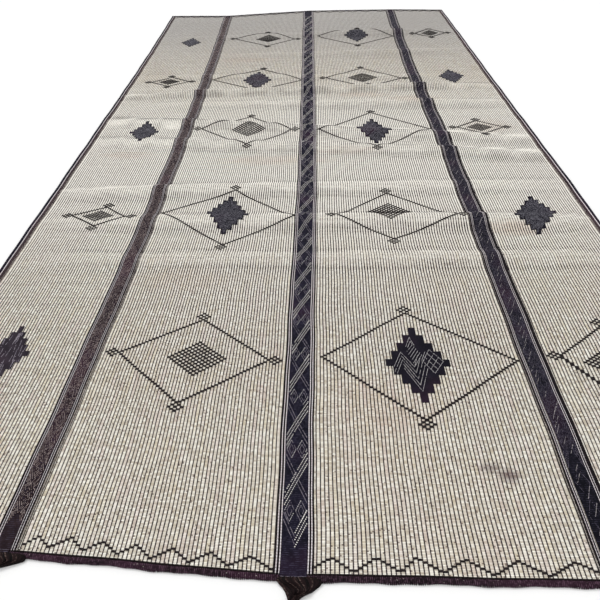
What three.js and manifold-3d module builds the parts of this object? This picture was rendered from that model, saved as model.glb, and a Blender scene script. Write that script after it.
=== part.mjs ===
// A large reed and leather floor mat, laid out flat and a little uneven.
// Fine reeds lie across its width. Three leather bands run its length, a rolled leather selvedge
// closes each long edge, a wrapped binding closes each end, ten stepped leather patches sit on the
// reeds, and the near end of each band is gathered into a tassel.
// Millimetres. X runs across the mat, +Y along it away from the tassels, +Z up from the floor.
import * as THREE from "three";
import { mergeVertices } from "three/addons/utils/BufferGeometryUtils.js";
import Module from "manifold-3d";

const wasm = await Module();
wasm.setup();

const LENGTH = 5430; // between the inner lines of the two end bindings
const HALF_WIDTH = 1450; // nominal centre line to long edge
const BAND_OFF = 850; // nominal centre line to an outer band
const REED = 4; // the bound reeds
const LEATHER = 1.6; // bands and patches
const GAP = 0.3; // between pieces that lie on or against each other
const LIP = 14; // the rolled outer part of a selvedge
const FLAP = 46; // how far a selvedge reaches in over the reeds
const ROLL = 8.6; // height of the selvedge roll
const BINDING = { wide: 16, high: 10, chamfer: 2.5 };
const LONGEST_CELL = 330; // the sheet is cut into cells no longer than this along the mat
const CUTTER = { below: -20, above: 90 }; // reach of the upright cutter that trims a patch

// the leather bands: where each lies, half its width, and how far its tassel is thrown sideways for
// each millimetre that it is gathered
const BANDS = [
  { name: "band_left", u: -BAND_OFF, half: 25, thrown: -1.9 },
  { name: "band_centre", u: 0, half: 37, thrown: 0 },
  { name: "band_right", u: BAND_OFF, half: 26, thrown: 0.2 },
];

// Each lane is a line that runs the length of the mat; u is its nominal place across.
const LANE_NAMES = ["left", "bandLeft", "centre", "bandRight", "right"];
const LANE_U = [-HALF_WIDTH, -BAND_OFF, 0, BAND_OFF, HALF_WIDTH];

// Where each lane really runs across, at stations v along the mat: it widens and bows a little.
const LANES = [
  { v: 0, left: -1420, bandLeft: -840, centre: -7, bandRight: 876, right: 1488 },
  { v: 900, left: -1424, bandLeft: -830, centre: -5, bandRight: 876, right: 1487 },
  { v: 1900, left: -1431, bandLeft: -820, centre: 3, bandRight: 875, right: 1480 },
  { v: 2700, left: -1440, bandLeft: -821, centre: 0, bandRight: 866, right: 1461 },
  { v: 3500, left: -1447, bandLeft: -829, centre: -7, bandRight: 838, right: 1441 },
  { v: 4400, left: -1464, bandLeft: -850, centre: -16, bandRight: 837, right: 1423 },
  { v: LENGTH, left: -1496, bandLeft: -888, centre: -28, bandRight: 852, right: 1400 },
];

// How far the reeds lean along the mat on each lane, so that both ends are out of square.
const LEAN = [
  { v: 0, left: 75, bandLeft: 43, centre: -5, bandRight: -3, right: -3 },
  { v: 740, left: 45, bandLeft: 25, centre: -5, bandRight: -10, right: 0 },
  { v: 1710, left: -12, bandLeft: 0, centre: 6, bandRight: 6, right: -4 },
  { v: 2690, left: -6, bandLeft: 0, centre: 0, bandRight: 0, right: 0 },
  { v: 3575, left: -28, bandLeft: -15, centre: 0, bandRight: 12, right: 22 },
  { v: 4620, left: -80, bandLeft: -42, centre: 0, bandRight: 42, right: 80 },
  { v: LENGTH, left: -45, bandLeft: -75, centre: 65, bandRight: 60, right: 10 },
];

// Ridges left by folding: where the crest crosses the outer bands, how high it stands there, and
// the run of its slopes before (near side) and behind (far side). They die out at the long edges.
const RIDGES = [
  { left: 1340, right: 1357, highLeft: 5, highRight: 14, before: 110, behind: 60 },
  { left: 1656, right: 1650, highLeft: 12, highRight: 28, before: 125, behind: 65 },
  { left: 1950, right: 1985, highLeft: 22, highRight: 8, before: 120, behind: 60 },
  { left: 2521, right: 2375, highLeft: 18, highRight: 24, before: 125, behind: 60 },
  { left: 2800, right: 2590, highLeft: 27, highRight: 16, before: 120, behind: 60 },
  { left: 3120, right: 3095, highLeft: 4, highRight: 26, before: 120, behind: 50 },
  { left: 3300, right: 3370, highLeft: 33, highRight: 36, before: 80, behind: 50 },
  { left: 3669, right: 3600, highLeft: 10, highRight: 3, before: 110, behind: 60 },
  { left: 4180, right: 4172, highLeft: 1, highRight: 12, before: 130, behind: 60 },
  { left: 4720, right: 4690, highLeft: 6, highRight: 32, before: 140, behind: 70 },
];
const SLOPE_BEFORE = [1, 0.62, 0.26]; // where a ridge is cut into cells, as shares of its runs
const SLOPE_BEHIND = [0.42, 1];

// The outline of a stepped diamond from its middle out: each step's share of the half width, and
// the share of the half height at which it ends.
const STEPS = [
  { wide: 1, upTo: 0.09 },
  { wide: 0.79, upTo: 0.315 },
  { wide: 0.57, upTo: 0.545 },
  { wide: 0.34, upTo: 0.775 },
  { wide: 0.115, upTo: 1 },
];
// Each patch's place and half sizes. It was sewn on by eye: lean is how far its far tip strays to the
// right, and tilt how far its right tip strays to the far side; the opposite tips stray the other way.
const PATCHES = [
  { name: "patch_1_outer_left", u: -1113, v: 4567, halfWide: 90, halfLong: 121, lean: 0, tilt: -13 },
  { name: "patch_1_inner_right", u: 452, v: 4608, halfWide: 112, halfLong: 160, lean: 0, tilt: -8 },
  { name: "patch_2_inner_left", u: -418, v: 3557, halfWide: 115, halfLong: 178, lean: 0, tilt: 0 },
  { name: "patch_2_outer_right", u: 1141, v: 3564, halfWide: 98, halfLong: 133, lean: 3, tilt: 3 },
  { name: "patch_3_outer_left", u: -1120, v: 2660, halfWide: 92, halfLong: 141, lean: -5, tilt: 3 },
  { name: "patch_3_inner_right", u: 428, v: 2645, halfWide: 110, halfLong: 174, lean: 0, tilt: -16 },
  { name: "patch_4_inner_left", u: -423, v: 1690, halfWide: 115, halfLong: 169, lean: 0, tilt: -17 },
  { name: "patch_4_outer_right", u: 1149, v: 1683, halfWide: 112, halfLong: 167, lean: 32, tilt: 20 },
  { name: "patch_5_outer_left", u: -1181, v: 724, halfWide: 88, halfLong: 146, lean: 0, tilt: 0 },
  { name: "patch_5_inner_right", u: 429, v: 732, halfWide: 117, halfLong: 175, lean: 0, tilt: 0 },
];

// A tassel from its root at the binding to the strand ends: distance out, sideways shift, half
// width and thickness.
const TASSEL = [
  { out: 0, shift: 20, half: 62, thick: 8 },
  { out: 10, shift: 18, half: 54, thick: 11 },
  { out: 24, shift: 14, half: 36, thick: 14 },
  { out: 33, shift: 9, half: 21, thick: 15 },
  { out: 43, shift: 7, half: 15, thick: 15 },
  { out: 56, shift: 5, half: 13, thick: 14 },
  { out: 85, shift: 2, half: 19, thick: 12 },
  { out: 120, shift: -2, half: 25, thick: 9 },
  { out: 150, shift: -5, half: 23, thick: 6 },
];
// where its gathering begins and ends, and the share of the throw that is left beyond the neck
const GATHER = { from: 10, to: 43, beyond: 0.37 };
// its section, as shares of the half width and of the thickness; flat where it lies on the floor
const TASSEL_SECTION = [
  { side: -0.8, up: 0 },
  { side: 0.8, up: 0 },
  { side: 1, up: 0.45 },
  { side: 0.7, up: 0.9 },
  { side: 0, up: 1 },
  { side: -0.7, up: 0.9 },
  { side: -1, up: 0.45 },
];

const between = (a, b, t) => a + (b - a) * t;

// the smooth curve along v through one column of a table
function follow(table, column, v) {
  const last = table.length - 1;
  const at = THREE.MathUtils.clamp(v, table[0].v, table[last].v);
  let i = 0;
  while (i < last - 1 && at > table[i + 1].v) i++;
  const slope = (k) => {
    const a = table[Math.max(k - 1, 0)];
    const b = table[Math.min(k + 1, last)];
    return (b[column] - a[column]) / (b.v - a.v);
  };
  const [p, q] = [table[i], table[i + 1]];
  const run = q.v - p.v;
  const t = (at - p.v) / run;
  const ease = t * t * (3 - 2 * t);
  return (
    between(p[column], q[column], ease) +
    run * t * (1 - t) * ((1 - t) * slope(i) - t * slope(i + 1))
  );
}

// a table's value at u, straight between the lanes
function across(table, u, v) {
  const i = LANE_U.findIndex((edge, k) => k > 0 && u <= edge) - 1;
  const k = i < 0 ? LANE_U.length - 2 : i;
  const t = (u - LANE_U[k]) / (LANE_U[k + 1] - LANE_U[k]);
  return between(follow(table, LANE_NAMES[k], v), follow(table, LANE_NAMES[k + 1], v), t);
}

const bandShare = (u) => (u + BAND_OFF) / (2 * BAND_OFF);
const lineAt = (line, u) => between(line.left, line.right, bandShare(u));

function ridgeHeight(u, v) {
  const share = THREE.MathUtils.clamp(bandShare(u), 0, 1);
  const fade = Math.min(1, (HALF_WIDTH - Math.abs(u)) / (HALF_WIDTH - BAND_OFF));
  return RIDGES.reduce((sum, ridge) => {
    const off = v - lineAt(ridge, u);
    const t = Math.min(1, off < 0 ? -off / ridge.before : off / ridge.behind);
    const high = fade * between(ridge.highLeft, ridge.highRight, share);
    return sum + high * (0.5 + 0.5 * Math.cos(Math.PI * t));
  }, 0);
}

// the point of the mat at (u, v), raised by up above the underside
const place = (u, v, up) =>
  new THREE.Vector3(across(LANES, u, v), v + across(LEAN, u, v), ridgeHeight(u, v) + up);

// The lines across the mat along which every layer is creased, so that all of them bend alike.
function creaseLines() {
  const lines = [{ left: 0, right: 0 }];
  const advance = (next) => {
    const from = lines[lines.length - 1];
    const parts = Math.ceil(Math.max(next.left - from.left, next.right - from.right) / LONGEST_CELL);
    for (let i = 1; i <= parts; i++)
      lines.push({
        left: between(from.left, next.left, i / parts),
        right: between(from.right, next.right, i / parts),
      });
  };
  for (const ridge of RIDGES) {
    const steps = [
      ...SLOPE_BEFORE.map((share) => -share * ridge.before),
      0,
      ...SLOPE_BEHIND.map((share) => share * ridge.behind),
    ];
    for (const step of steps) advance({ left: ridge.left + step, right: ridge.right + step });
  }
  advance({ left: LENGTH, right: LENGTH });
  return lines;
}
const CREASES = creaseLines();

// The sides of a body lofted through rings of equally many points. Each four-sided cell is split
// along one diagonal, or along the other one from point number turned on.
function loft(rings, turned = Infinity) {
  const size = rings[0].length;
  const positions = rings.flat().flatMap((p) => [p.x, p.y, p.z]);
  const index = [];
  for (let r = 0; r < rings.length - 1; r++)
    for (let i = 0; i < size; i++) {
      const a = r * size + i;
      const b = r * size + ((i + 1) % size);
      if (i < turned) index.push(a, b + size, b, a, a + size, b + size);
      else index.push(a, a + size, b, b, a + size, b + size);
    }
  return { positions, index, size, rings: rings.length };
}

function closeEnds(body, capFaces) {
  const lastRing = (body.rings - 1) * body.size;
  for (const [a, b, c] of capFaces) {
    body.index.push(a, b, c);
    body.index.push(lastRing + c, lastRing + b, lastRing + a);
  }
  return body;
}

function geometryOf(body) {
  const geometry = new THREE.BufferGeometry();
  geometry.setAttribute("position", new THREE.Float32BufferAttribute(body.positions, 3));
  geometry.setIndex(body.index);
  return geometry;
}

// triangles that close a flat section given as an anticlockwise list of points
const capOf = (section) =>
  THREE.ShapeUtils.triangulateShape(
    section.map((p) => new THREE.Vector2(p.side, p.up)),
    [],
  );

// A layer of the mat over the given columns and crease lines, from bottom to top above the floor.
// Each ring is a section across the mat: along its bottom and back along its top.
function sheetLayer(columns, lines, bottom, top) {
  const back = [...columns].reverse();
  const rings = lines.map((line) => [
    ...columns.map((u) => place(u, lineAt(line, u), bottom)),
    ...back.map((u) => place(u, lineAt(line, u), top)),
  ]);
  // the ends are closed cell by cell, so that they follow the lean of the reeds
  const strip = columns.slice(1).flatMap((_, i) => {
    const above = 2 * columns.length - 1 - i;
    return [
      [i, i + 1, above - 1],
      [i, above - 1, above],
    ];
  });
  // the top is split along the same diagonals as the bottom, so stacked layers stay even
  return closeEnds(loft(rings, columns.length), strip);
}

const asManifold = ({ positions, index }) =>
  new wasm.Manifold(
    new wasm.Mesh({
      numProp: 3,
      vertProperties: new Float32Array(positions),
      triVerts: new Uint32Array(index),
    }),
  );

function fromManifold(solid) {
  const mesh = solid.getMesh();
  return geometryOf({ positions: Array.from(mesh.vertProperties), index: Array.from(mesh.triVerts) });
}

const FLOOR_OF_TOP = REED + GAP; // where the leather that lies on the reeds begins
const FIELD_EDGE = HALF_WIDTH - LIP - GAP;
const FLAP_EDGE = HALF_WIDTH - FLAP;
const bandColumns = ({ u, half }) => [u - half, u + half];
const FIELD_COLUMNS = [
  -FIELD_EDGE,
  -FLAP_EDGE,
  ...BANDS.flatMap(bandColumns),
  FLAP_EDGE,
  FIELD_EDGE,
];

const bandLayer = (band) =>
  sheetLayer(bandColumns(band), CREASES, FLOOR_OF_TOP, FLOOR_OF_TOP + LEATHER);

// A selvedge: a roll down to the floor outside the reeds, and a flap over them.
function selvedge(side) {
  const section = [
    { inward: 2, up: 0 },
    { inward: LIP, up: 0 },
    { inward: LIP, up: FLOOR_OF_TOP },
    { inward: FLAP, up: FLOOR_OF_TOP },
    { inward: FLAP, up: FLOOR_OF_TOP + LEATHER },
    { inward: LIP + 1, up: FLOOR_OF_TOP + LEATHER },
    { inward: LIP - 3, up: ROLL },
    { inward: 3, up: ROLL },
    { inward: 0, up: ROLL / 2 },
  ].map((p) => ({ side: side * (HALF_WIDTH - p.inward), up: p.up }));
  const ordered = side < 0 ? section : section.reverse();
  const rings = CREASES.map((line) => ordered.map((p) => place(p.side, lineAt(line, p.side), p.up)));
  return closeEnds(loft(rings), capOf(ordered));
}

// A wrapped end binding: a chamfered bar just outside the reeds, as wide as the mat.
function endBinding(v, outward) {
  const { wide, high, chamfer } = BINDING;
  const section = [
    { side: 0, up: 0 },
    { side: wide - chamfer / 2, up: 0 },
    { side: wide, up: high / 2 },
    { side: wide - chamfer, up: high },
    { side: chamfer, up: high },
    { side: 0, up: high - chamfer },
  ];
  const columns = [-HALF_WIDTH, ...FIELD_COLUMNS, HALF_WIDTH];
  const along = outward > 0 ? [...columns].reverse() : columns;
  const rings = along.map((u) =>
    section.map((p) => {
      const point = place(u, v, p.up);
      point.y += outward * (GAP + p.side);
      return point;
    }),
  );
  // rings advance across the mat with the section's own axis pointing outward
  return closeEnds(loft(rings), capOf(section));
}

// A tassel at the near end of a band: gathered leather that narrows to a neck, then strands.
function tassel(band) {
  const [left, right] = bandColumns(band).map((side) => place(side, 0, 0));
  const root = left.clone().lerp(right, 0.5);
  root.y -= BINDING.wide + 2 * GAP;
  const rootLean = (right.y - left.y) / (right.x - left.x);
  const rings = [...TASSEL].reverse().map((t) =>
    TASSEL_SECTION.map((p) => {
      const gathered = THREE.MathUtils.clamp(t.out, GATHER.from, GATHER.to) - GATHER.from;
      const beyond = GATHER.beyond * Math.max(0, t.out - GATHER.to);
      const sideways = t.shift + band.thrown * (gathered + beyond) + p.side * t.half;
      const lean = t.out === 0 ? rootLean : 0;
      return new THREE.Vector3(
        root.x + sideways,
        root.y - t.out + lean * sideways,
        p.up * t.thick,
      );
    }),
  );
  return closeEnds(loft(rings), capOf(TASSEL_SECTION));
}

// the stepped outline of a patch as seen from above, anticlockwise from its right tip
function steppedOutline({ u, v, halfWide, halfLong, lean, tilt }) {
  const quarter = [];
  let from = 0;
  for (const step of STEPS) {
    quarter.push({ x: step.wide, y: from }, { x: step.wide, y: step.upTo });
    from = step.upTo;
  }
  const upperRight = quarter.slice(1);
  const mirrored = (fx, fy, list) => list.map((p) => ({ x: fx * p.x, y: fy * p.y }));
  const around = [
    ...upperRight,
    ...mirrored(-1, 1, upperRight).reverse(),
    ...mirrored(-1, -1, upperRight),
    ...mirrored(1, -1, upperRight).reverse(),
  ];
  return around.map((p) => {
    const point = place(u + p.x * halfWide + p.y * lean, v + p.y * halfLong + p.x * tilt, 0);
    return new THREE.Vector2(point.x, point.y);
  });
}

// A patch lies on the reeds and bends with them: the sheet's own layer, cut to the outline.
function patch(spec) {
  const inside = (u) => Math.abs(u - spec.u) < spec.halfWide;
  const first = FIELD_COLUMNS.findIndex((u) => u > spec.u - spec.halfWide) - 1;
  const last = FIELD_COLUMNS.findIndex((u) => u > spec.u && !inside(u));
  const columns = FIELD_COLUMNS.slice(first, last + 1);
  const reach = spec.halfLong + LONGEST_CELL;
  const near = (line) => Math.abs(lineAt(line, spec.u) - spec.v) < reach;
  const slab = sheetLayer(columns, CREASES.filter(near), FLOOR_OF_TOP, FLOOR_OF_TOP + LEATHER);
  const prism = new THREE.ExtrudeGeometry(new THREE.Shape(steppedOutline(spec)), {
    depth: CUTTER.above - CUTTER.below,
    bevelEnabled: false,
  });
  prism.translate(0, 0, CUTTER.below);
  const bare = new THREE.BufferGeometry();
  bare.setAttribute("position", prism.getAttribute("position"));
  const cutter = mergeVertices(bare);
  return fromManifold(
    asManifold(slab).intersect(
      asManifold({
        positions: cutter.getAttribute("position").array,
        index: cutter.getIndex().array,
      }),
    ),
  );
}

const LOOKS = {
  reed: { color: 0xcdc5b4, roughness: 0.75 },
  band_leather: { color: 0x2a232c, roughness: 0.6 },
  edge_leather: { color: 0x1f1d2a, roughness: 0.55 },
  patch_leather: { color: 0x28222d, roughness: 0.6 },
  binding_leather: { color: 0x352029, roughness: 0.65 },
  tassel_leather: { color: 0x2a1a18, roughness: 0.7 },
};

const mat = new THREE.Group();
function add(name, slot, geometry) {
  const material = new THREE.MeshStandardMaterial({ name: slot, ...LOOKS[slot] });
  const mesh = new THREE.Mesh(geometry, material);
  mesh.name = name;
  mat.add(mesh);
}

add("reed_field", "reed", geometryOf(sheetLayer(FIELD_COLUMNS, CREASES, 0, REED)));
for (const band of BANDS) add(band.name, "band_leather", geometryOf(bandLayer(band)));
add("edge_left", "edge_leather", geometryOf(selvedge(-1)));
add("edge_right", "edge_leather", geometryOf(selvedge(1)));
add("binding_near", "binding_leather", geometryOf(endBinding(0, -1)));
add("binding_far", "binding_leather", geometryOf(endBinding(LENGTH, 1)));
for (const band of BANDS)
  add(band.name.replace("band", "tassel"), "tassel_leather", geometryOf(tassel(band)));
for (const spec of PATCHES) add(spec.name, "patch_leather", patch(spec));

// The part stands on the floor with the middle of its box over the origin.
const box = new THREE.Box3().setFromObject(mat);
const middle = box.getCenter(new THREE.Vector3());
mat.position.set(-middle.x, -middle.y, -box.min.z);

const group = new THREE.Group();
group.add(mat);

export default group;
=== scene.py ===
# %% [markdown]
# # A reed and leather floor mat
#
# The mat is a nomad's floor covering, nearly three metres wide and five and a half long. Fine reeds
# lie across it, and thin leather thongs twined round them run its whole length. Three leather
# bands, rolled selvedges, wrapped ends, stepped leather patches and rows of dark dashes dress it.
# The frame is loaded first. It brings the plain CAD solids, which say where everything lies.

import math

import bpy
import numpy as np
from mathutils import Matrix, Vector


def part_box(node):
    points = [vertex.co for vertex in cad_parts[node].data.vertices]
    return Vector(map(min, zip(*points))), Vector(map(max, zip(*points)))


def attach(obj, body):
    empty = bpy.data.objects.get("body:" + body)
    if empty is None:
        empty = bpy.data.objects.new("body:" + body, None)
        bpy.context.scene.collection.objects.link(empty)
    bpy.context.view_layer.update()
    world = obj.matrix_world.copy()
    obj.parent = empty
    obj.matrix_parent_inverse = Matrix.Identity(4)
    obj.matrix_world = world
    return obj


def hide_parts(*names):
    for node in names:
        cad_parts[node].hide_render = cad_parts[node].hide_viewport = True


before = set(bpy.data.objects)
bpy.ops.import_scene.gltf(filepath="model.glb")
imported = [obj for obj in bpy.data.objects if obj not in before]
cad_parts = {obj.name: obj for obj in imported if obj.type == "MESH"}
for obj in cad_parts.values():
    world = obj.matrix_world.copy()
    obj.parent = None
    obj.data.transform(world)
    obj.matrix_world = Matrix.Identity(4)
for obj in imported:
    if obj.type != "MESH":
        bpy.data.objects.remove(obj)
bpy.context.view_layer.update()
scene = bpy.context.scene

# %% [markdown]
# ## The place of every point of the mat
#
# An old mat is never a true rectangle. Its long edges bow, its reeds lean a little, and folding has
# left low ridges across it. A point of the mat is therefore named by how far it is across (u) and
# along (v) the flat mat, in millimetres, and one function says where that point lies on the floor.
# Everything that is made below goes through this function, so all layers bend together.

# %% Lanes, lean and ridges
LENGTH = 5430.0
HALF_WIDTH = 1450.0
BAND_OFF = 850.0
REED_TOP = 4.0
LANE_U = np.array([-HALF_WIDTH, -BAND_OFF, 0.0, BAND_OFF, HALF_WIDTH])

# where five lines that run the length of the mat lie across, at stations v
LANES = np.array([
    # v, left edge, left band, centre band, right band, right edge
    [0, -1420, -840, -7, 876, 1488],
    [900, -1424, -830, -5, 876, 1487],
    [1900, -1431, -820, 3, 875, 1480],
    [2700, -1440, -821, 0, 866, 1461],
    [3500, -1447, -829, -7, 838, 1441],
    [4400, -1464, -850, -16, 837, 1423],
    [LENGTH, -1496, -888, -28, 852, 1400],
], dtype=float)

# how far the reeds lean along the mat on the same five lines
LEAN = np.array([
    [0, 75, 43, -5, -3, -3],
    [740, 45, 25, -5, -10, 0],
    [1710, -12, 0, 6, 6, -4],
    [2690, -6, 0, 0, 0, 0],
    [3575, -28, -15, 0, 12, 22],
    [4620, -80, -42, 0, 42, 80],
    [LENGTH, -45, -75, 65, 60, 10],
], dtype=float)

# a fold ridge: its crest on the left and right band, its height there, its run before and behind
RIDGES = [
    (1340, 1357, 5, 14, 110, 60),
    (1656, 1650, 12, 28, 125, 65),
    (1950, 1985, 22, 8, 120, 60),
    (2521, 2375, 18, 24, 125, 60),
    (2800, 2590, 27, 16, 120, 60),
    (3120, 3095, 4, 26, 120, 50),
    (3300, 3370, 33, 36, 80, 50),
    (3669, 3600, 10, 3, 110, 60),
    (4180, 4172, 1, 12, 130, 60),
    (4720, 4690, 6, 32, 140, 70),
]


# %% From the flat mat to the floor
def follow(table, v):
    """Smooth curves along v through all lanes of a table: one row for each v."""
    stations = table[:, 0]
    values = table[:, 1:]
    count = len(stations)
    ahead = np.minimum(np.arange(count) + 1, count - 1)
    back = np.maximum(np.arange(count) - 1, 0)
    slopes = (values[ahead] - values[back]) / (stations[ahead] - stations[back])[:, None]
    at = np.clip(v, stations[0], stations[-1])
    i = np.clip(np.searchsorted(stations, at) - 1, 0, count - 2)
    run = (stations[i + 1] - stations[i])[:, None]
    t = (at - stations[i])[:, None] / run
    ease = t * t * (3 - 2 * t)
    pull = run * t * (1 - t) * ((1 - t) * slopes[i] - t * slopes[i + 1])
    return values[i] + (values[i + 1] - values[i]) * ease + pull


def across(table, u, v):
    """A table's value at u, straight between its lanes."""
    lanes = follow(table, v)
    k = np.clip(np.searchsorted(LANE_U, u) - 1, 0, 3)
    t = (u - LANE_U[k]) / (LANE_U[k + 1] - LANE_U[k])
    rows = np.arange(len(u))
    return lanes[rows, k] * (1 - t) + lanes[rows, k + 1] * t


def ridge_height(u, v):
    """How high the fold ridges lift the mat. They die out towards the long edges."""
    share = (u + BAND_OFF) / (2 * BAND_OFF)
    inside = np.clip(share, 0, 1)
    fade = np.clip((HALF_WIDTH - np.abs(u)) / (HALF_WIDTH - BAND_OFF), 0, 1)
    height = np.zeros_like(u)
    for left, right, high_left, high_right, before, behind in RIDGES:
        off = v - (left + (right - left) * share)
        t = np.minimum(1, np.where(off < 0, -off / before, off / behind))
        high = high_left + (high_right - high_left) * inside
        height += fade * high * (0.5 + 0.5 * np.cos(np.pi * t))
    return height


def flat_place(u, v):
    """Where a point lies on the floor before the mat is centred, in millimetres."""
    return across(LANES, u, v), v + across(LEAN, u, v)


# The CAD centres the mat over the origin, so the shift is read from the far binding's back corner.
BINDING_WIDE = 16.3
BAND_CORNER = 37.0
corner_y = flat_place(np.array([BAND_CORNER]), np.array([LENGTH]))[1][0] + BINDING_WIDE
SHIFT = (4.0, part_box("binding_far")[1][1] * 1000 - corner_y)
print("shift from flat mat to frame, mm:", [round(x, 2) for x in SHIFT])


def place(u, v, up):
    """The points of the mat at (u, v), raised up above its underside, in metres."""
    u, v, up = (a.astype(float).ravel() for a in np.broadcast_arrays(u, v, up))
    x, y = flat_place(u, v)
    # hand work wanders: the thongs sway a little along the mat and the reeds across it
    x += 1.3 * np.sin(v / 97 + u / 260) + 0.8 * np.sin(v / 41 - u / 90)
    y += 1.2 * np.sin(u / 130 + v / 310) + 0.7 * np.sin(u / 47 + v / 120)
    z = ridge_height(u, v) + up
    return np.stack([x + SHIFT[0], y + SHIFT[1], z], axis=1) / 1000


# %% [markdown]
# ## The camera
#
# The photograph looks down the length of the mat from standing height, with a wide lens. Its place
# was worked out once from the mat's corners, bands and ornaments.

# %% Camera
LENS = 28.8
CAMERA_PLACE = (0.0584, -3.0723, 1.4583)
LOOK_DOWN = 0.7825
TURN = 0.0459
TILT = -0.0311

camera = bpy.data.objects.new("camera", bpy.data.cameras.new("camera"))
scene.collection.objects.link(camera)
camera.data.lens = LENS
camera.data.sensor_width = 36
camera.data.clip_end = 200
aim = Matrix.Rotation(TURN, 4, "Z") @ Matrix.Rotation(math.pi / 2 - LOOK_DOWN, 4, "X")
camera.matrix_world = Matrix.Translation(CAMERA_PLACE) @ aim @ Matrix.Rotation(TILT, 4, "Z")
scene.camera = camera


def pixel(u, v, up=REED_TOP):
    """The pixel of a 600 by 600 picture that a point of the mat falls on."""
    point = camera.matrix_world.inverted() @ Vector(place(u, v, up)[0])
    focal = LENS / 36 * 600
    return 300 + focal * point.x / -point.z, 300 - focal * point.y / -point.z


print("near end of the centre band at pixel", [round(x, 1) for x in pixel(0.0, 0.0)])
print("left hatched lozenge at pixel", [round(x, 1) for x in pixel(-408.0, 732.0)])

# %% [markdown]
# ## Floor and light
#
# The mat was photographed against white. A broad pale floor under a bright, even sky gives that,
# and one wide, soft sun from behind on the left shades the ridges just enough to be seen. The
# Standard view is used so that the pale straw colour keeps its warmth.


# %% Colours as the eye reads them
def tint(red, green, blue):
    """A colour given as it reads on a screen, from 0 to 255, made linear for the shader."""
    levels = [level / 255 for level in (red, green, blue)]
    return *(x / 12.92 if x <= 0.04045 else ((x + 0.055) / 1.055) ** 2.4 for x in levels), 1.0


# %% Sockets on which Python's own signs do the maths
class Wire:
    """One output of a node. Plus, minus, times and so on add the Math node they stand for."""

    def __init__(self, recipe, socket):
        self.recipe = recipe
        self.socket = socket

    def maths(self, operation, *values):
        settings = {"operation": operation}
        return self.recipe.node("ShaderNodeMath", settings, dict(enumerate(values)))

    def __add__(self, other):
        return self.maths("ADD", self, other)

    def __radd__(self, other):
        return self.maths("ADD", other, self)

    def __sub__(self, other):
        return self.maths("SUBTRACT", self, other)

    def __rsub__(self, other):
        return self.maths("SUBTRACT", other, self)

    def __mul__(self, other):
        return self.maths("MULTIPLY", self, other)

    def __rmul__(self, other):
        return self.maths("MULTIPLY", other, self)

    def __truediv__(self, other):
        return self.maths("DIVIDE", self, other)

    def __rtruediv__(self, other):
        return self.maths("DIVIDE", other, self)

    def __gt__(self, other):
        return self.maths("GREATER_THAN", self, other)

    def floor(self):
        return self.maths("FLOOR", self)

    def fraction(self):
        return self.maths("FRACT", self)

    def size(self):
        return self.maths("ABSOLUTE", self)

    def sine(self):
        return self.maths("SINE", self)

    def between(self, low, high):
        """0 at low and below, 1 at high and above, smooth in between."""
        settings = {"interpolation_type": "SMOOTHSTEP"}
        return self.recipe.node("ShaderNodeMapRange", settings, {0: self, 1: low, 2: high})


# %% A recipe for one finish
class Recipe:
    """One material and the nodes that make its finish."""

    def __init__(self, name):
        self.material = bpy.data.materials.new(name)
        self.material.use_nodes = True
        self.tree = self.material.node_tree
        self.shader = self.tree.nodes["Principled BSDF"]

    def node(self, kind, settings=None, sockets=None, out=0):
        """Adds a node: its settings first, then the values or links of its sockets."""
        made = self.tree.nodes.new(kind)
        for name, value in (settings or {}).items():
            setattr(made, name, value)
        for key, value in (sockets or {}).items():
            if isinstance(value, Wire):
                self.tree.links.new(value.socket, made.inputs[key])
            else:
                made.inputs[key].default_value = value
        return Wire(self, made.outputs[out])

    def parts(self, vector):
        """The x, y and z of a vector."""
        split = self.node("ShaderNodeSeparateXYZ", sockets={0: vector})
        return [Wire(self, socket) for socket in split.socket.node.outputs]

    def vector(self, x, y, z=0.0):
        return self.node("ShaderNodeCombineXYZ", sockets={0: x, 1: y, 2: z})

    def object_place(self):
        return self.node("ShaderNodeTexCoord", out=3)

    def plan(self):
        """Place on the flat mat, from the piece's own map."""
        return self.parts(self.node("ShaderNodeUVMap", {"uv_map": "plan"}))

    def noise(self, vector, scale, detail=2.0, rough=0.5):
        sockets = {"Vector": vector, "Scale": scale, "Detail": detail, "Roughness": rough}
        return self.node("ShaderNodeTexNoise", sockets=sockets)

    def chance(self, vector):
        """A number from 0 to 1 for each whole-numbered place, seemingly by chance."""
        return self.node("ShaderNodeTexWhiteNoise", {"noise_dimensions": "3D"}, {0: vector})

    def mix(self, share, first, second):
        """One colour over another: share 0 gives the first, 1 the second."""
        return self.node("ShaderNodeMix", {"data_type": "RGBA"}, {0: share, 6: first, 7: second}, out=2)

    def set(self, **values):
        """Values or links for the shader's own sockets."""
        for name, value in values.items():
            socket = self.shader.inputs[name.replace("_", " ")]
            if isinstance(value, Wire):
                self.tree.links.new(value.socket, socket)
            else:
                socket.default_value = value

    def bump(self, height, depth, strength=1.0):
        """Relief that is too fine to model; depth is in metres."""
        sockets = {"Strength": strength, "Distance": depth, "Height": height}
        self.set(Normal=self.node("ShaderNodeBump", sockets=sockets))


# %% Floor
bpy.ops.object.select_all(action="DESELECT")
bpy.ops.mesh.primitive_plane_add(size=80, location=(0, 0, -0.0006))
floor = bpy.context.object
floor.name = "floor"
paper = Recipe("floor_white")
speckle = paper.noise(paper.object_place(), 3.0)
paper.set(Base_Color=paper.mix(speckle, tint(247, 247, 246), tint(249, 249, 249)), Roughness=0.9)
floor.data.materials.append(paper.material)

# %% Sky and sun
SKY = 0.81
SUN = 1.22
world = bpy.data.worlds.new("sky")
scene.world = world
world.use_nodes = True
world.node_tree.nodes["Background"].inputs[0].default_value = (1.0, 1.0, 1.0, 1.0)
world.node_tree.nodes["Background"].inputs[1].default_value = SKY

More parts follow.
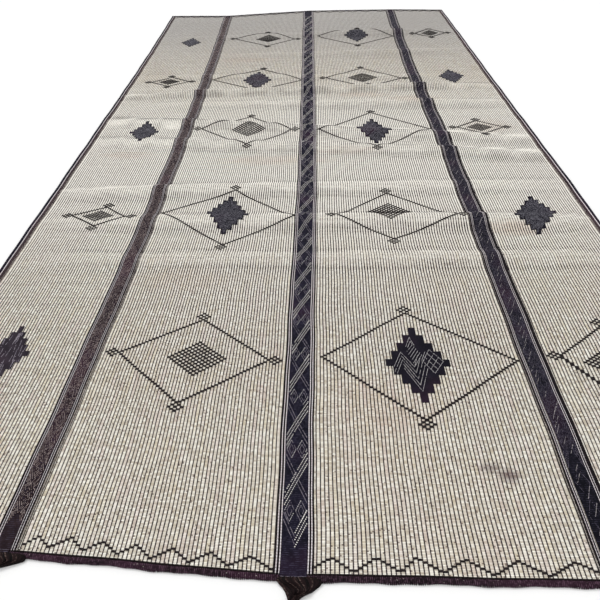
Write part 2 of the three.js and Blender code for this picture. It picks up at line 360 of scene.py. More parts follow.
sun = bpy.data.objects.new("sun", bpy.data.lights.new("sun", "SUN"))
scene.collection.objects.link(sun)
sun.data.energy = SUN
sun.data.angle = math.radians(25)
sun.rotation_euler = (math.radians(-38), math.radians(-22), 0)
scene.view_settings.view_transform = "Standard"

# %% [markdown]
# ## Finishes
#
# Each finish is a small recipe of nodes. The reeds take a slightly different straw tone stalk by
# stalk and cell by cell, with painted shade and some dirt in the gaps, painted shade along the
# thongs, painted light across the middle of the mat and faint stains where the mat was folded. The
# thongs, bands and patches are the same goat leather, dyed black, blue-black or brown, and worn.

# %% Straw
# faint stains: u, v, reach across, reach along (mm), how strong, and whether pink or rusty
STAINS = [
    (640, 294, 44, 30, 0.8, "pink"),
    (590, 318, 46, 22, 0.6, "pink"),
    (779, 3137, 260, 90, 0.26, "rusty"),
    (420, 3240, 240, 60, 0.18, "rusty"),
    (-203, 2265, 420, 70, 0.2, "rusty"),
    (1010, 1559, 170, 70, 0.26, "rusty"),
    (-1150, 2350, 200, 60, 0.18, "rusty"),
    (1180, 2700, 200, 120, 0.18, "rusty"),
    (258, 2362, 260, 50, 0.13, "rusty"),
    (-520, 4033, 300, 80, 0.13, "rusty"),
    (637, 1289, 30, 12, 0.4, "pink"),
    (300, 560, 260, 160, 0.1, "rusty"),
    (-560, 1180, 240, 110, 0.12, "rusty"),
]


def straw():
    recipe = Recipe("straw")
    cell, reed, _ = recipe.plan()
    spot = recipe.object_place()
    stalk = reed.floor()
    # one tone for each stalk, drifting along it, and one for each stretch between two thongs
    drift = recipe.noise(recipe.vector(cell * 0.11, stalk * 3.7), 1.0, 1.0)
    bead = recipe.chance(recipe.vector(cell.floor(), (reed * 0.5).floor()))
    single = recipe.chance(recipe.vector(cell.floor() + 0.5, stalk))
    light = (drift * 0.35 + bead * 0.4 + single * 0.5).between(0.22, 1.02)
    color = recipe.mix(light, tint(202, 193, 177), tint(255, 253, 243))
    # one stretch of a cell leans to pink, another to yellow
    hue = recipe.noise(recipe.vector(cell.floor() * 5.3, reed * 0.03), 1.0, 2.0)
    color = recipe.mix(hue.between(0.5, 0.68) * 0.3, color, tint(224, 200, 196))
    color = recipe.mix((1 - hue).between(0.5, 0.68) * 0.26, color, tint(230, 214, 176))
    # now and then a stalk is brown, and here and there a short stretch is dark
    brown = (single > 0.94) * 0.3 + (recipe.chance(recipe.vector(stalk, 9.0)) > 0.96) * 0.2
    color = recipe.mix(brown, color, tint(158, 138, 118))
    nick = recipe.chance(recipe.vector((cell * 2).floor(), stalk, 4.0)) > 0.982
    color = recipe.mix(nick * 0.75, color, tint(84, 66, 60))
    fibre = recipe.noise(recipe.vector(cell * 0.5, reed * 9.0), 1.0, 2.0, 0.7)
    color = recipe.mix(fibre.between(0.35, 0.75) * 0.14, color, tint(176, 160, 138))
    # large, soft changes of tone over the whole mat: warm near the folds, greyer far away
    large = recipe.noise(spot, 1.7, 3.0)
    color = recipe.mix(large.between(0.42, 0.72) * 0.14, color, tint(214, 190, 164))
    x, y, _ = recipe.parts(spot)
    # painted light: across the middle of the mat the straw is painted lighter, nearly white
    painted_light_middle = y.between(-2.1, -0.6) * (1 - y.between(0.0, 1.3))
    color = recipe.mix(painted_light_middle * 0.7, color, tint(255, 252, 244))
    color = recipe.mix(y.between(0.6, 2.4) * 0.66, color, tint(171, 170, 171))
    # a stain follows the stalks, so its rim is drawn out along them
    wander = recipe.noise(recipe.vector(x * 6.0, stalk * 0.3), 1.0, 3.0) * 1.5
    for u, v, reach_u, reach_v, strong, kind in STAINS:
        middle = place(u, v, 0)[0]
        left = (x - middle[0]) / (reach_u / 1000)
        back = (y - middle[1]) / (reach_v / 1000)
        stain = 1 - (left * left + back * back + wander).between(0.4, 1.9)
        shade = tint(96, 72, 74) if kind == "pink" else tint(206, 158, 122)
        color = recipe.mix(stain * strong, color, shade)
    # painted shade and some dirt darken the gaps between the stalks, and painted shade darkens the
    # straw along the thongs; both are weaker across the lighter middle of the mat
    gap = ((reed.fraction() - 0.5).size() * 2).between(0.6, 1.0)
    side = ((cell.fraction() - 0.5).size() * 2).between(0.5, 0.86)
    color = recipe.mix(gap * (0.4 - 0.28 * painted_light_middle), color, tint(96, 82, 70))
    color = recipe.mix(side * (0.42 - 0.38 * painted_light_middle), color, tint(92, 78, 72))
    recipe.set(Base_Color=color, Roughness=0.62 + fibre * 0.2, Specular_IOR_Level=0.2)
    recipe.bump(fibre * 0.4 + light * 0.3 - gap, 0.0004, 0.7)
    return recipe.material


STRAW = straw()


# %% Leather in its several colours
def leather(name, deep, worn, wear=0.5, creases=0.0, rough=0.7, flecks=0.0, ribs=0.0):
    """Dyed goat leather: a deep colour, a worn one, and creases across a band or a binding."""
    recipe = Recipe(name)
    spot = recipe.object_place()
    blotch = recipe.noise(spot, 26.0, 4.0, 0.6)
    patchy = recipe.noise(spot, 4.0, 2.0)
    pores = recipe.noise(spot, 900.0, 3.0, 0.6)
    shade = (blotch * 0.4 + patchy * 0.4 + pores * 0.3).between(0.42, 0.75)
    color = recipe.mix(shade * wear, deep, worn)
    color = recipe.mix(patchy.between(0.5, 0.7) * 0.4, color, tint(56, 28, 46))
    scuff = recipe.noise(spot, 160.0, 3.0, 0.7).between(0.56, 0.78)
    color = recipe.mix(scuff * 0.3 * wear, color, tint(104, 94, 96))
    if flecks:
        fleck = recipe.noise(spot, 170.0, 1.0).between(0.74, 0.78)
        color = recipe.mix(fleck * flecks, color, tint(214, 204, 196))
    height = pores * 0.5 + blotch
    if creases:
        _, y, _ = recipe.parts(spot)
        waver = recipe.noise(spot, 45.0, 2.0) * 6.0
        crease = (y * 1150.0 + waver).sine().between(0.2, 1.0)
        broken = crease * recipe.noise(spot, 110.0, 3.0).between(0.4, 0.68)
        # the creases are real grooves in the relief; their lighter colour is a painted sheen
        color = recipe.mix(broken * creases, color, tint(88, 84, 106))
        height = height - broken * 0.5
    if ribs:
        x, _, _ = recipe.parts(spot)
        rib = (x * 1150.0 + recipe.noise(spot, 60.0) * 4.0).sine().between(-0.2, 1.0)
        rib = rib * recipe.noise(spot, 120.0, 2.0).between(0.4, 0.65)
        color = recipe.mix(rib * ribs, color, tint(122, 92, 110))
        height = height + rib * 0.5
    recipe.set(Base_Color=color, Roughness=rough + 0.18 * pores, Specular_IOR_Level=0.1)
    recipe.bump(height, 0.0005, 0.7)
    return recipe.material


BLUE_BLACK = leather("leather_blue_black", tint(7, 7, 19), tint(34, 31, 52), 0.6, creases=0.45)
BROWN_BLACK = leather("leather_brown_black", tint(22, 11, 17), tint(62, 47, 52), 0.7, creases=0.32)
NIGHT = leather("leather_night", tint(5, 5, 14), tint(28, 26, 42), 0.5, creases=0.35)
PATCH_DARK = leather("leather_patch", tint(10, 9, 20), tint(42, 36, 50), 0.6)
PATCH_GREY = leather("leather_patch_grey", tint(30, 24, 32), tint(72, 64, 74), 0.7)
ROLL_DARK = leather("leather_roll", tint(12, 12, 28), tint(46, 42, 58), 0.5, rough=0.6)
EDGE_BROWN = leather("leather_edge_brown", tint(42, 30, 35), tint(84, 70, 72), 0.7)
BOUND_BROWN = leather("leather_binding", tint(14, 6, 11), tint(62, 42, 54), 0.8, flecks=0.6, ribs=0.6)


# %% Twined thongs and cords, beaded by every stalk they wrap
def beaded(name, deep, light, dip_shade_color, beads=0.5, gap=0.5, haze=0.0):
    """A cord wrapped round the stalks: one bead for every few stalks, with painted shade where it dips."""
    recipe = Recipe(name)
    number, reed, _ = recipe.plan()
    step = reed * beads
    one = recipe.chance(recipe.vector(number.floor(), step.floor()))
    slow = recipe.noise(recipe.vector(number.floor() * 1.7, reed * 0.013), 1.0, 2.0)
    color = recipe.mix((one * 0.55 + slow * 0.6).between(0.25, 0.85), deep, light)
    # painted shade: the cord is darkened where it dips between its beads
    dip = ((step.fraction() - 0.5).size() * 2).between(0.45, 1.0)
    color = recipe.mix(dip * gap, color, dip_shade_color)
    # with distance the straw beside a cord begins to blur into it
    _, y, _ = recipe.parts(recipe.object_place())
    color = recipe.mix(y.between(0.1, 2.6) * haze, color, tint(150, 144, 138))
    recipe.set(Base_Color=color, Roughness=0.68 + one * 0.15, Specular_IOR_Level=0.12)
    recipe.bump(0 - dip, 0.0006, 0.7)
    return recipe.material


THONG = beaded("thong", tint(15, 6, 15), tint(50, 35, 46), tint(8, 4, 8), haze=0.45)
CREAM_CORD = beaded("cord_cream", tint(246, 232, 235), tint(255, 250, 252), tint(110, 94, 102), gap=0.3)
DIM_CORD = beaded("cord_dim", tint(120, 106, 106), tint(194, 182, 176), tint(34, 27, 30), gap=0.6)
DARK_CORD = beaded("cord_dark", tint(9, 5, 9), tint(27, 20, 25), tint(5, 3, 5), gap=0.4)
BROWN_CORD = beaded("cord_brown", tint(62, 48, 50), tint(112, 98, 94), tint(30, 22, 24), gap=0.5)


# %% Strands of a tassel
def strands():
    """Cut leather strands: most nearly black, some worn brown in patches along them."""
    recipe = Recipe("tassel_strands")
    number, along, _ = recipe.plan()
    own = recipe.chance(recipe.vector(number.floor(), 3.0))
    worn = recipe.noise(recipe.vector(number * 5.1, along * 6.0), 1.0, 2.0).between(0.42, 0.7)
    color = recipe.mix(own, tint(3, 1, 2), tint(38, 22, 23))
    color = recipe.mix(worn * (own > 0.76) * 0.8, color, tint(104, 88, 82))
    recipe.set(Base_Color=color, Roughness=0.7, Specular_IOR_Level=0.12)
    recipe.bump(recipe.noise(recipe.object_place(), 700.0, 3.0), 0.0005, 0.6)
    return recipe.material


STRANDS = strands()


# %% Stitches and dashes
def thread(name, deep, light, rough=0.6):
    """Short stitches, each of a slightly different tone."""
    recipe = Recipe(name)
    spot = recipe.object_place()
    tone = recipe.noise(spot, 130.0, 2.0).between(0.35, 0.65)
    fuzz = recipe.noise(spot, 2200.0, 2.0)
    color = recipe.mix(tone, deep, light)
    color = recipe.mix(fuzz * 0.15, color, tint(90, 80, 76))
    recipe.set(Base_Color=color, Roughness=rough + 0.2 * fuzz, Specular_IOR_Level=0.12)
    recipe.bump(fuzz, 0.0002, 0.5)
    return recipe.material


STITCH_CREAM = thread("stitch_cream", tint(226, 220, 214), tint(255, 251, 244))
STITCH_BRIGHT = thread("stitch_bright", tint(190, 186, 190), tint(240, 236, 234))
STITCH_LINE = thread("stitch_line", tint(160, 152, 158), tint(216, 210, 208))
STITCH_GREY = thread("stitch_grey", tint(112, 106, 120), tint(166, 158, 168))
STITCH_SLATE = thread("stitch_slate", tint(62, 62, 72), tint(146, 144, 154))
STITCH_BROWN = thread("stitch_brown", tint(132, 114, 110), tint(204, 188, 184))
STITCH_FAINT = thread("stitch_faint", tint(64, 60, 76), tint(116, 110, 124))
DASH_BLACK = thread("dash_black", tint(12, 9, 11), tint(34, 28, 30), 0.6)

# %% [markdown]
# ## Helpers that build sheets, ribbons and copies
#
# A sheet or a ribbon is a grid of points on the flat mat that is laid through the place function.
# Small things that repeat, such as a stitch, are modelled once with Blender's own tools, read as a
# template, and copied by the same function. Ribbons need short steps over a ridge and long ones on
# flat ground, so one helper works out where a strip must bend.


# %% Meshes from grids
def new_piece(name, points, faces, material, plan=None, bake=None):
    """An object from points in metres and faces as lists of point numbers."""
    mesh = bpy.data.meshes.new(name)
    mesh.from_pydata(points.tolist(), [], faces)
    for title, place_of in (("plan", plan), ("OFBake", bake)):
        if place_of is not None:
            layer = mesh.uv_layers.new(name=title)
            corners = np.empty(len(mesh.loops), dtype=np.int32)
            mesh.loops.foreach_get("vertex_index", corners)
            layer.data.foreach_set("uv", place_of[corners].astype(np.float32).ravel())
    mesh.materials.append(material)
    piece = bpy.data.objects.new(name, mesh)
    scene.collection.objects.link(piece)
    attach(piece, "root")
    return piece


def square_map(u, v):
    """A map from 0 to 1 over a piece."""
    u = (u - u.min()) / (u.max() - u.min())
    v = (v - v.min()) / (v.max() - v.min())
    return np.stack([u, v], axis=1) * 0.996 + 0.002


def smooth(piece, degrees):
    """Smooth shading with edges sharper than the given angle kept."""
    bpy.ops.object.select_all(action="DESELECT")
    bpy.context.view_layer.objects.active = piece
    piece.select_set(True)
    bpy.ops.object.shade_smooth_by_angle(angle=math.radians(degrees))
    piece.select_set(False)


def laid(name, u, v, up, faces, material, degrees=None, plan=None):
    """A piece whose points lie at (u, v) on the flat mat, raised by up."""
    piece = new_piece(name, place(u, v, up), faces, material, plan, square_map(u, v))
    if degrees:
        smooth(piece, degrees)
    return piece


def count_triangles(piece):
    return sum(len(face.vertices) - 2 for face in piece.data.polygons)


def quads(rows, size, closed=False):
    """The four-sided faces between rows of points with size points in each row."""
    r, i = np.meshgrid(np.arange(rows - 1), np.arange(size if closed else size - 1), indexing="ij")
    a = (r * size + i).ravel()
    b = (r * size + (i + 1) % size).ravel()
    return np.stack([a, b, b + size, a + size], axis=1)


def bar_faces(rows, size):
    """The faces of a closed bar: rows of size points each, and its two ends."""
    ends = [list(range(size))[::-1], [(rows - 1) * size + i for i in range(size)]]
    return quads(rows, size, closed=True).tolist() + ends


def repeated(template, times):
    """The faces of a template's copies, which follow each other in one mesh."""
    points, faces = template
    return [[k * len(points) + i for i in face] for k in range(times) for face in faces]


# %% Where a strip must bend
def bends(u, stray, longest):
    """Stations along v so that a strip at u strays less than stray mm from the ridges."""
    fine, shortest = 2.0, 5.0
    v = np.arange(0.0, LENGTH + 1, fine)
    height = ridge_height(np.full_like(v, u), v)
    curve = np.abs(np.gradient(np.gradient(height, fine), fine))
    step = np.clip(np.sqrt(8 * stray / np.maximum(curve, 1e-9)), shortest, longest)
    walked = np.concatenate([[0], np.cumsum(fine / step[:-1])])
    count = max(2, int(math.ceil(walked[-1])) + 1)
    return np.interp(np.linspace(0, walked[-1], count), walked, v)


# %% Templates modelled and read once
def read_template():
    """The active object's points and faces; the object itself goes."""
    made = bpy.context.object
    mesh = made.data
    points = np.array([corner.co[:] for corner in mesh.vertices])
    # the tools may list the same faces in another order each time, so they are put in a fixed one
    faces = []
    for face in mesh.polygons:
        ring = list(face.vertices)
        first = ring.index(min(ring))
        faces.append(ring[first:] + ring[:first])
    faces.sort()
    bpy.data.objects.remove(made)
    bpy.data.meshes.remove(mesh)
    return points, faces


def pick_faces(mesh, test):
    """Selects, in object mode, the faces whose normal passes the test."""
    bpy.ops.object.mode_set(mode="OBJECT")
    for corner in mesh.vertices:
        corner.select = False
    for edge in mesh.edges:
        edge.select = False
    for face in mesh.polygons:
        face.select = test(face.normal, face.center)
    bpy.ops.object.mode_set(mode="EDIT")


def pad_template(bevel, segments, top=1.0):
    """A small pad, one unit in each direction, open below, its upper rim drawn in and bevelled."""
    bpy.ops.object.select_all(action="DESELECT")
    bpy.ops.mesh.primitive_cube_add(size=1, location=(0, 0, 0.5))
    made = bpy.context.object
    bpy.ops.object.transform_apply(location=True)
    pick_faces(made.data, lambda normal, centre: normal.z < -0.5)
    bpy.ops.mesh.delete(type="FACE")
    pick_faces(made.data, lambda normal, centre: normal.z > 0.5)
    bpy.ops.mesh.select_mode(type="FACE")
    bpy.ops.transform.resize(value=(top, top, 1))
    if bevel:
        bpy.ops.mesh.bevel(offset=bevel, segments=segments, affect="EDGES")
    bpy.ops.object.mode_set(mode="OBJECT")
    return read_template()


STITCH_PAD = pad_template(0, 0, 0.72)
DASH_PAD = pad_template(0.2, 1)
print("stitch template", len(STITCH_PAD[1]), "faces; dash template", len(DASH_PAD[1]), "faces")


def copies(template, u, v, turn, long, wide, tall, base):
    """Copies of a template on the flat mat. turn is its angle there; sizes are in mm."""
    points = template[0]
    u, v, turn, long, wide, tall, base = (
        a.ravel()[:, None] for a in np.broadcast_arrays(u, v, turn, long, wide, tall, base)
    )
    x, y = points[:, 0] * long, points[:, 1] * wide
    flat_u = u + x * np.cos(turn) - y * np.sin(turn)
    flat_v = v + x * np.sin(turn) + y * np.cos(turn)
    up = base + points[:, 2] * tall
    return flat_u.ravel(), flat_v.ravel(), up.ravel(), repeated(template, len(u))


# %% [markdown]
# ## The reed panels
#
# On the real mat, about thirteen hundred reeds lie side by side across each of four panels, which
# meet under the leather bands. Modelling every stalk as a tube would cost millions of faces, so a
# panel is one closed sheet whose upper face rises and falls over each stalk in three rows of
# points: the gap and the two shoulders. Shading then rounds it. Each stalk has its own height.

# %% Reed panels
REEDS = 1324
PITCH = LENGTH / REEDS
STALK_RISE = 1.1
UNDER_STEP = 6
INNER_CLEAR = (57.0, 798.0)
INNER_START = 49.5
OUTER_CLEAR = (902.0, 1404.0)

# each panel: its edges under the bands, cells across the mesh, the clear span and its weave cells
PANELS = {
    "outer_left": (-1436, -850, 3, -OUTER_CLEAR[1], -OUTER_CLEAR[0], 40),
    "inner_left": (-850, 0, 5, -INNER_CLEAR[1], -INNER_CLEAR[0], 60),
    "inner_right": (0, 850, 5, INNER_START, INNER_CLEAR[1], 61),
    "outer_right": (850, 1436, 3, OUTER_CLEAR[0], OUTER_CLEAR[1], 40),
}
# where a stalk's gap and its two shoulders lie, as shares of the pitch
SHOULDERS = np.array([0.0, 0.28, 0.72])
chance = np.random.default_rng(20)


def reed_panel(name, left, right, cells, clear_left, clear_right, weave):
    """A closed sheet with three rows of points for each stalk above and few rows below."""
    wide = cells + 1
    columns = np.linspace(left, right, wide)
    rows = np.arange(3 * REEDS + 1)
    stalk, part = rows // 3, rows % 3
    own = chance.uniform(0.72, 1.0, REEDS + 1)[stalk]
    wobble = chance.normal(0, 0.28, (REEDS + 1, wide))[stalk]
    # the first and last rows stay straight, so that the ends close
    wobble[:2] = wobble[-2:] = 0
    top_v = np.clip(((stalk + SHOULDERS[part]) * PITCH)[:, None] + wobble, 0, LENGTH)
    top_up = REED_TOP - STALK_RISE + STALK_RISE * np.where(part == 0, 0.0, own)
    under_rows = np.append(np.arange(0, REEDS, UNDER_STEP), REEDS)
    u = np.tile(columns, len(rows) + len(under_rows))
    v = np.concatenate([top_v.ravel(), np.repeat(under_rows * PITCH, wide)])
    up = np.concatenate([np.repeat(top_up, wide), np.full(len(under_rows) * wide, 0.3)])
    under = top_v.size
    faces = quads(len(rows), wide).tolist()
    faces += (quads(len(under_rows), wide)[:, ::-1] + under).tolist()
    for side in (0, cells):
        for k in range(len(under_rows) - 1):
            above = range(3 * under_rows[k], 3 * under_rows[k + 1] + 1)
            ring = [row * wide + side for row in above]
            ring += [under + (k + 1) * wide + side, under + k * wide + side]
            faces.append(ring if side == 0 else ring[::-1])
    last_top = (len(rows) - 1) * wide
    last_under = under + (len(under_rows) - 1) * wide
    for i in range(cells):
        faces.append([i, under + i, under + i + 1, i + 1])
        faces.append([last_top + i + 1, last_under + i + 1, last_under + i, last_top + i])
    cell = (u - clear_left) / (clear_right - clear_left) * weave
    plan = np.stack([cell + 200, v / PITCH], axis=1)
    piece = laid("reeds_" + name, u, v, up, faces, STRAW, 60, plan)
    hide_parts("reed_field")
    (right - left) / 1000
    return piece


reed_panels = [reed_panel(name, *spec) for name, spec in PANELS.items()]
print("reed panels", [count_triangles(piece) for piece in reed_panels], "triangles")

# %% [markdown]
# ## The thongs
#
# Between the reeds' ends and the bands, narrow leather thongs are twined over and under the stalks,
# about twelve millimetres apart. They draw the fine dark lines of the photograph. Each is a low
# roof-shaped ribbon that strays a little to either side, and its beads are in the finish.

# %% Thongs
THONG_HALF = 2.35
THONG_FOOT, THONG_TOP = 3.2, 4.75
# the thongs were drawn less tight in the middle of the mat, so they lie broader there: v, share
SWELL = ((400, 1000, 2700, 4200), (1.0, 1.3, 1.3, 1.0))
# one more thong closes three of the panels beside the cords of a band
CLOSING = {"outer_left": -OUTER_CLEAR[0], "inner_left": -INNER_CLEAR[1], "outer_right": OUTER_CLEAR[0]}
# how far a pale cord is drawn in between its beads
WAIST = 0.78


def ribbons(name, lines, low, high, material, degrees=70, sway=0.1, beads=False):
    """Low roof-shaped ribbons along the whole mat: lines is a list of (u, half width)."""
    parts, faces, first = [], [], 0
    for number, (u, half) in enumerate(lines):
        if beads:
            # every second row of points is drawn in, so that a row of beads shows
            v = np.linspace(0, LENGTH, REEDS + 1)
            drift, share = 0 * v, np.where(np.arange(len(v)) % 2 == 0, WAIST, 1.0)
            top = low + (high - low) * (0.35 + 0.65 * share)
        else:
            v = bends(u, stray=0.4, longest=42.0)
            drift = sway * (np.sin(v / 23 + number) + np.sin(v / 61 + 2.3 * number)) / 1.4
            share, top = np.interp(v, *SWELL), 0 * v + high
        grid_u = u + drift[:, None] + share[:, None] * np.array([-half, 0.0, half])
        up = np.stack([0 * v + low, top, 0 * v + low], axis=1)
        grid = np.broadcast_arrays(grid_u, v[:, None], up, number + 0.5)
        parts.append(np.stack(grid, axis=2).reshape(-1, 4))
        faces += (quads(len(v), 3) + first).tolist()
        first += len(parts[-1])
    u, v, up, own = np.concatenate(parts).T
    plan = np.stack([own, v / PITCH], axis=1)
    return laid(name, u, v, up, faces, material, degrees, plan)


def cell_edges(name):
    """Where the thongs of a panel run: the edges of its weave cells."""
    clear_left, clear_right, weave = PANELS[name][3:]
    return np.linspace(clear_left, clear_right, weave + 1)


thongs = {}
for name in PANELS:
    lines = [(u, THONG_HALF) for u in cell_edges(name)[1:-1]]
    if name in CLOSING:
        lines.append((CLOSING[name], THONG_HALF))
    thongs[name] = ribbons("thongs_" + name, lines, THONG_FOOT, THONG_TOP, THONG, 60, 0.4)
print("thongs", {name: count_triangles(piece) for name, piece in thongs.items()}, "triangles")

# %% [markdown]
# ## The dark dashes
#
# The weaver draws with a black thong that passes over one cell and comes up again in the next, a
# stalk or two further on. So every figure is made of short black dashes, one to a cell, in steps.
# The figures are charted in cells and steps, like a pattern for counted stitches: an outline is a
# large diamond, its tips carry small chequered diamonds, and five times on each side of the centre
# the middle is filled with a chequered lozenge. A zigzag runs along each end.

# %% Charting the figures
STEP = 8.5

# the large outlines: panel, the left, right, top and bottom tip as (u, v), and whether small
# chequered diamonds stand beyond the side tips as well as beyond the top and the bottom
OUTLINES = [
    ("inner_left", (-730, 747), (-123, 732), (-420, 935), (-443, 527), True),
    ("inner_right", (82, 755), (792, 745), (415, 988), (422, 487), False),
    ("inner_left", (-788, 1712), (-56, 1656), (-405, 1912), (-416, 1435), False),
    ("inner_right", (152, 1663), (755, 1655), (427, 1885), (428, 1479), True),
    ("inner_left", (-740, 2694), (-115, 2653), (-412, 2877), (-402, 2447), True),
    ("inner_right", (74, 2646), (793, 2662), (433, 2922), (421, 2398), False),
    ("inner_left", (-791, 3581), (-42, 3543), (-389, 3797), (-408, 3353), False),
    ("inner_right", (145, 3572), (739, 3541), (442, 3775), (455, 3385), True),
    ("inner_left", (-709, 4630), (-129, 4571), (-398, 4780), (-388, 4400), True),
    ("inner_right", (92, 4619), (798, 4566), (472, 4813), (444, 4353), False),
    ("outer_left", (-1265, 1698), (-977, 1676), (-1100, 1776), (-1116, 1597), True),
    ("outer_right", (975, 2687), (1276, 2681), (1124, 2779), (1130, 2591), True),
    ("outer_left", (-1278, 3559), (-978, 3559), (-1128, 3649), (-1128, 3469), True),
    ("outer_right", (1012, 4600), (1312, 4600), (1162, 4688), (1162, 4512), True),
]
# the chequered lozenges: panel, middle u, v, cells from the middle to a tip, height of a step
LOZENGES = [
    ("inner_left", -408, 732, 9, 8.9),
    ("inner_right", 423, 1701, 9, 8.9),
    ("inner_left", -414, 2672, 9, 8.9),
    ("inner_right", 440, 3564, 9, 8.9),
    ("inner_left", -389, 4596, 9, 8.9),
    ("outer_left", -1122, 1688, 6, 8.2),
    ("outer_right", 1126, 2683, 6, 8.2),
    ("outer_left", -1128, 3559, 6, 8.2),
    ("outer_right", 1162, 4600, 6, 8.2),
    ("outer_right", 1113, 738, 6, 8.2),
]


class Chart:
    """Collects the dashes of one panel: each is a cell and a place along v."""

    def __init__(self, name):
        self.edges = cell_edges(name)
        self.marks = set()
        self.dashes = []

    def cell_at(self, u):
        return int(np.clip(np.searchsorted(self.edges, u) - 1, 0, len(self.edges) - 2))

    def dash(self, cell, v):
        known = (cell, round(v / 3))
        if 0 <= cell < len(self.edges) - 1 and known not in self.marks and 0 < v < LENGTH:
            self.marks.add(known)
            self.dashes.append((cell, v))

    def chequer(self, cell, v, reach, step, odd=0):
        """A chequered diamond: a dash on every other crossing within reach of the middle."""
        for i in range(-reach, reach + 1):
            for j in range(-reach, reach + 1):
                if abs(i) + abs(j) <= reach and (i + j) % 2 == odd:
                    self.dash(cell + i, v + j * step)

    def path(self, corners):
        """One dash for each cell along a path of corners from left to right."""
        across_it, along_it = zip(*corners)
        for cell in range(self.cell_at(across_it[0]), self.cell_at(across_it[-1]) + 1):
            middle = (self.edges[cell] + self.edges[cell + 1]) / 2
            self.dash(cell, float(np.interp(middle, across_it, along_it)))

    def outline(self, left, right, top, bottom, side_tips):
        """A large diamond with small chequered ones beyond its tips."""
        for crest, beyond in ((top, 2 * STEP), (bottom, -2 * STEP)):
            self.path([left, crest, right])
            self.chequer(self.cell_at(crest[0]), crest[1] + beyond, 2, STEP)
        if side_tips:
            self.chequer(self.cell_at(left[0]) - 2, left[1], 2, STEP)
            self.chequer(self.cell_at(right[0]) + 2, right[1], 2, STEP)


charts = {name: Chart(name) for name in PANELS}
for name, *tips in OUTLINES:
    charts[name].outline(*tips)
for name, u, v, reach, step in LOZENGES:
    chart = charts[name]
    chart.chequer(chart.cell_at(u), v, reach, step, reach % 2)

# %% One outline by the right edge has a double line below
chart = charts["outer_right"]
WEST, SOUTH, EAST, NORTH = (955, 770), (1165, 498), (1375, 770), (1165, 920)
chart.outline(WEST, EAST, NORTH, SOUTH, True)
chart.path([(u, v - STEP) for u, v in (WEST, SOUTH, EAST)])

# %% The zigzag along each end
# where the zigzag turns; the outer panels have an even one
OUTER_TURNS = [(910 + 55 * k, 44 if k % 2 else 12) for k in range(10)]
TURNS = {
    "inner_left": [
        (-803, 15), (-755, 46), (-716, 19), (-657, 50), (-613, 17), (-559, 45), (-509, 15),
        (-457, 45), (-408, 13), (-348, 45), (-296, 11), (-238, 42), (-184, 11), (-122, 41), (-60, 11),
    ],
    "inner_right": [
        (50, 16), (101, 45), (161, 9), (221, 48), (283, 12), (328, 48), (396, 12), (457, 48),
        (526, 10), (594, 46), (672, 9), (746, 46), (798, 20),
    ],
    "outer_left": [(-u, v) for u, v in reversed(OUTER_TURNS)],
    "outer_right": OUTER_TURNS,
}
for name, corners in TURNS.items():
    charts[name].path(corners)
    charts[name].path([(u, LENGTH - v) for u, v in corners])

# %% Dashes as small black pads
DASH_LONG = 14.0
DASH_NEAR = 5.8
DASH_FAR = 9.0
DASH_FOOT = 3.3
for name, chart in charts.items():
    cells = np.array([cell for cell, _ in chart.dashes])
    v = np.array([v for _, v in chart.dashes]) + chance.normal(0, 0.35, len(cells))
    u = (chart.edges[cells] + chart.edges[cells + 1]) / 2
    turn = chance.normal(0, 0.035, len(cells))
    # the end's zigzag was drawn with a finer thong than the figures further in
    widths = (DASH_NEAR, DASH_FAR, 0.8 * DASH_FAR)
    wide = np.interp(v, (80, 500, 1500), widths) * chance.uniform(0.88, 1.1, len(cells))
    # further off they stand higher, so that they still show at the photograph's flat angle
    tall = np.interp(v, (900, 1800), (2.5, 3.6))
    at_u, at_v, up, faces = copies(DASH_PAD, u, v, turn, DASH_LONG, wide, tall, DASH_FOOT)
    at_v = np.clip(at_v, 0, LENGTH)
    laid("dashes_" + name, at_u, at_v, up, faces, DASH_BLACK, 50)
print("dashes", {name: len(chart.dashes) for name, chart in charts.items()})

# %% [markdown]
# ## The leather bands
#
# Three strips of leather cover the seams between the panels. Each is a long flat strip, a little
# domed, over which it is stitched down by rows of cream and dark cords at both sides. The strips
# are built as closed sheets that bend with the ridges.


# %% Strips of leather
BAND_BASE = 4.3
BAND_THICK = 1.3


def strip(name, u, left, right, thick, dome, cells, material):
    """A closed strip from u + left to u + right, its upper face domed."""
    v = bends(u, stray=0.12, longest=26.0)
    columns = np.linspace(left, right, cells + 1)
    share = (columns - left) / (right - left) * 2 - 1
    upper = BAND_BASE + thick + dome * (1 - share ** 2)
    upper[[0, -1]] -= 0.5
    ring_u = np.concatenate([u + columns, [u + right, u + left]])
    ring_up = np.concatenate([upper, [BAND_BASE, BAND_BASE]])
    size = len(ring_u)
    grid_u, grid_v = np.tile(ring_u, len(v)), np.repeat(v, size)
    up = np.tile(ring_up, len(v))
    piece = laid(name, grid_u, grid_v, up, bar_faces(len(v), size), material, 50)
    flat = ((right - left) / 1000, LENGTH / 1000)
    return piece


# each band: its line, its left and right edge from there, and its leather
BANDS = {
    "left": (-BAND_OFF, -23, 25, BROWN_BLACK),
    "centre": (0.0, -37, 37, BLUE_BLACK),
    "right": (BAND_OFF, -29, 24, NIGHT),
}
band_strips = {}
for name, (u, left, right, material) in BANDS.items():
    piece = strip("band_strip_" + name, u, left, right, BAND_THICK, 0.5, 6, material)
    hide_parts("band_" + name)
    band_strips[name] = piece
print("band strips", {name: count_triangles(piece) for name, piece in band_strips.items()})

# %% [markdown]
# ### Cords beside the bands
#
# The cords are wrapped thongs, undyed and black by turns. The pale ones show as rows of small
# beads in the photograph, so their beads are real: every second row of points is drawn in.

